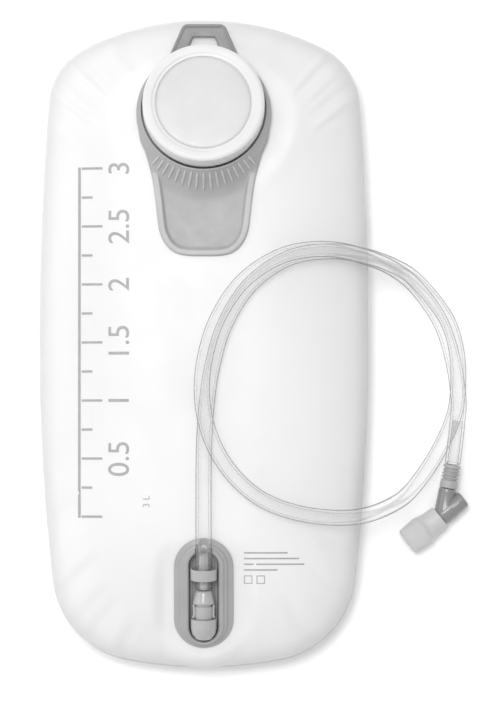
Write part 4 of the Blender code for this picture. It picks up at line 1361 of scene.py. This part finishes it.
def lay_on_film(bm, surface):
    """Cuts flat print finely and lays it on the bag, as a thin closed sheet."""
    bmesh.ops.triangulate(bm, faces=bm.faces)
    for _ in range(3):
        long_edges = [edge for edge in bm.edges if edge.calc_length() > 3 * MM]
        if long_edges:
            bmesh.ops.subdivide_edges(bm, edges=long_edges, cuts=1)
            bmesh.ops.triangulate(bm, faces=bm.faces)
    bmesh.ops.remove_doubles(bm, verts=bm.verts, dist=0.001 * MM)
    down = Vector((0, 0, -1))
    for vert in bm.verts:
        hit = surface.ray_cast(Vector((vert.co.x, vert.co.y, 0.2)), down)
        vert.co.z = hit[0].z + INK_LIFT
    flat = bm.faces[:]
    made = bmesh.ops.extrude_face_region(bm, geom=flat)
    for item in made["geom"]:
        if isinstance(item, bmesh.types.BMVert):
            item.co.z -= INK_THICKNESS
    return bm


def bar(bm, x1, y1, x2, y2):
    """One printed rectangle, in mm."""
    corners = [(x1, y1), (x2, y1), (x2, y2), (x1, y2)]
    bm.faces.new([bm.verts.new((x * MM, y * MM, 0)) for x, y in corners])


def lettering(bm, text, x, y, size):
    """Printed figures read from the side of the bag; size is their height in mm."""
    curve = bpy.data.curves.new("figures", "FONT")
    curve.body = text
    curve.size = size * MM * FONT_SIZE_PER_HEIGHT
    curve.align_x = "CENTER"
    curve.align_y = "CENTER"
    holder = bpy.data.objects.new("figures", curve)
    bpy.context.scene.collection.objects.link(holder)
    depsgraph = bpy.context.evaluated_depsgraph_get()
    mesh = bpy.data.meshes.new_from_object(holder.evaluated_get(depsgraph))
    mesh.transform(Matrix.Translation((x * MM, y * MM, 0)) @ Matrix.Rotation(math.radians(90), 4, "Z"))
    bm.from_mesh(mesh)
    bpy.data.objects.remove(holder)
    bpy.data.meshes.remove(mesh)


def make_print(front, mat):
    """Volume scale up the left side, and the capacity and plain small print beside the tube."""
    source = bmesh.new()
    source.from_mesh(front.data)
    surface = BVHTree.FromBMesh(source)
    source.free()

    bm = bmesh.new()
    low, high, marks = -104.0, 104.0, 12
    for i in range(marks + 1):
        y = low + (high - low) * i / marks
        major = i % 2 == 0
        bar(bm, -73.0, y - 0.7, -60.5 if major else -66.5, y + 0.7)
        if major and i > 0:
            lettering(bm, f"{i / 4:g}", -50.0, y, 13)
    bar(bm, -75.2, low - 0.7, -73.6, high + 0.7)
    scale = mesh_from(lay_on_film(bm, surface))
    add_object("volume_scale", scale, WORLD, mat, "reservoir")

    bm = bmesh.new()
    lettering(bm, "3 L", -34.0, -95.0, 4.2)
    for row, length in enumerate((26, 33, 36, 20)):
        y = -125.5 - 3.4 * row
        bar(bm, 24, y - 0.45, 24 + length, y + 0.45)
    for column in range(2):
        left = 24 + 7.5 * column
        for x1, y1, x2, y2 in ((0, 0, 5, 0.5), (0, 4.5, 5, 5), (0, 0.5, 0.5, 4.5), (4.5, 0.5, 5, 4.5)):
            bar(bm, left + x1, -144 + y1, left + x2, -144 + y2)
    notes = mesh_from(lay_on_film(bm, surface))
    add_object("small_print", notes, WORLD, mat, "reservoir")


# ---- the whole scene

def dress(node, mat):
    """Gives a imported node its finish."""
    obj = frame["nodes"][node]
    obj.data.materials.clear()
    obj.data.materials.append(mat)


make_camera()
CONNECTOR = hard_finish("connector_plastic", 0.38, 0.2)
tube, tube_path, tube_length = make_tube(tube_finish())
tube_pieces = [make_barb(CONNECTOR)]
make_light()
make_floor()
FILM_MAT = film_finish()
CAP_MAT = cap_finish("frosted_cap", 0.67)
HANDLE_MAT = soft_finish("handle_tpu", 0.345)
PORT_MAT = soft_finish("port_tpu", 0.33, 0.34)
SILICONE = silicone_finish()
SLEEVE_MAT = soft_finish("sleeve_rubber", 0.36)
VALVE_MAT = hard_finish("valve_plastic", 0.22, 0.22)
front_film = make_bag(FILM_MAT)
make_handle(HANDLE_MAT, soft_finish("border_tpu_painted_light", 0.42), soft_finish("rib_tpu_painted_highlight", 0.46))
# The hang loop takes a darker copy of the handle's TPU: painted shade from the cap.
make_hang_loop(soft_finish("loop_tpu_painted_shade", 0.22))
make_cap(CAP_MAT, cap_finish("frosted_disc", 0.60))
make_port(PORT_MAT, hard_finish("port_body_plastic", 0.38, 0.2))
make_plug(CONNECTOR)
tube_pieces += [make_sleeve(SLEEVE_MAT), *make_elbow(VALVE_MAT, SLEEVE_MAT), make_bite_valve(SILICONE)]
make_print(front_film, print_finish())
dress("mouth_ring", CAP_MAT)
for node in ("cap_seal", "poppet_seal", "plug_o_ring", "core_o_ring_front", "core_o_ring_rear"):
    dress(node, SILICONE)
for node in ("valve_poppet", "valve_core"):
    dress(node, CONNECTOR)
dress("poppet_spring", steel_finish())

bpy.context.scene.view_settings.view_transform = "Standard"
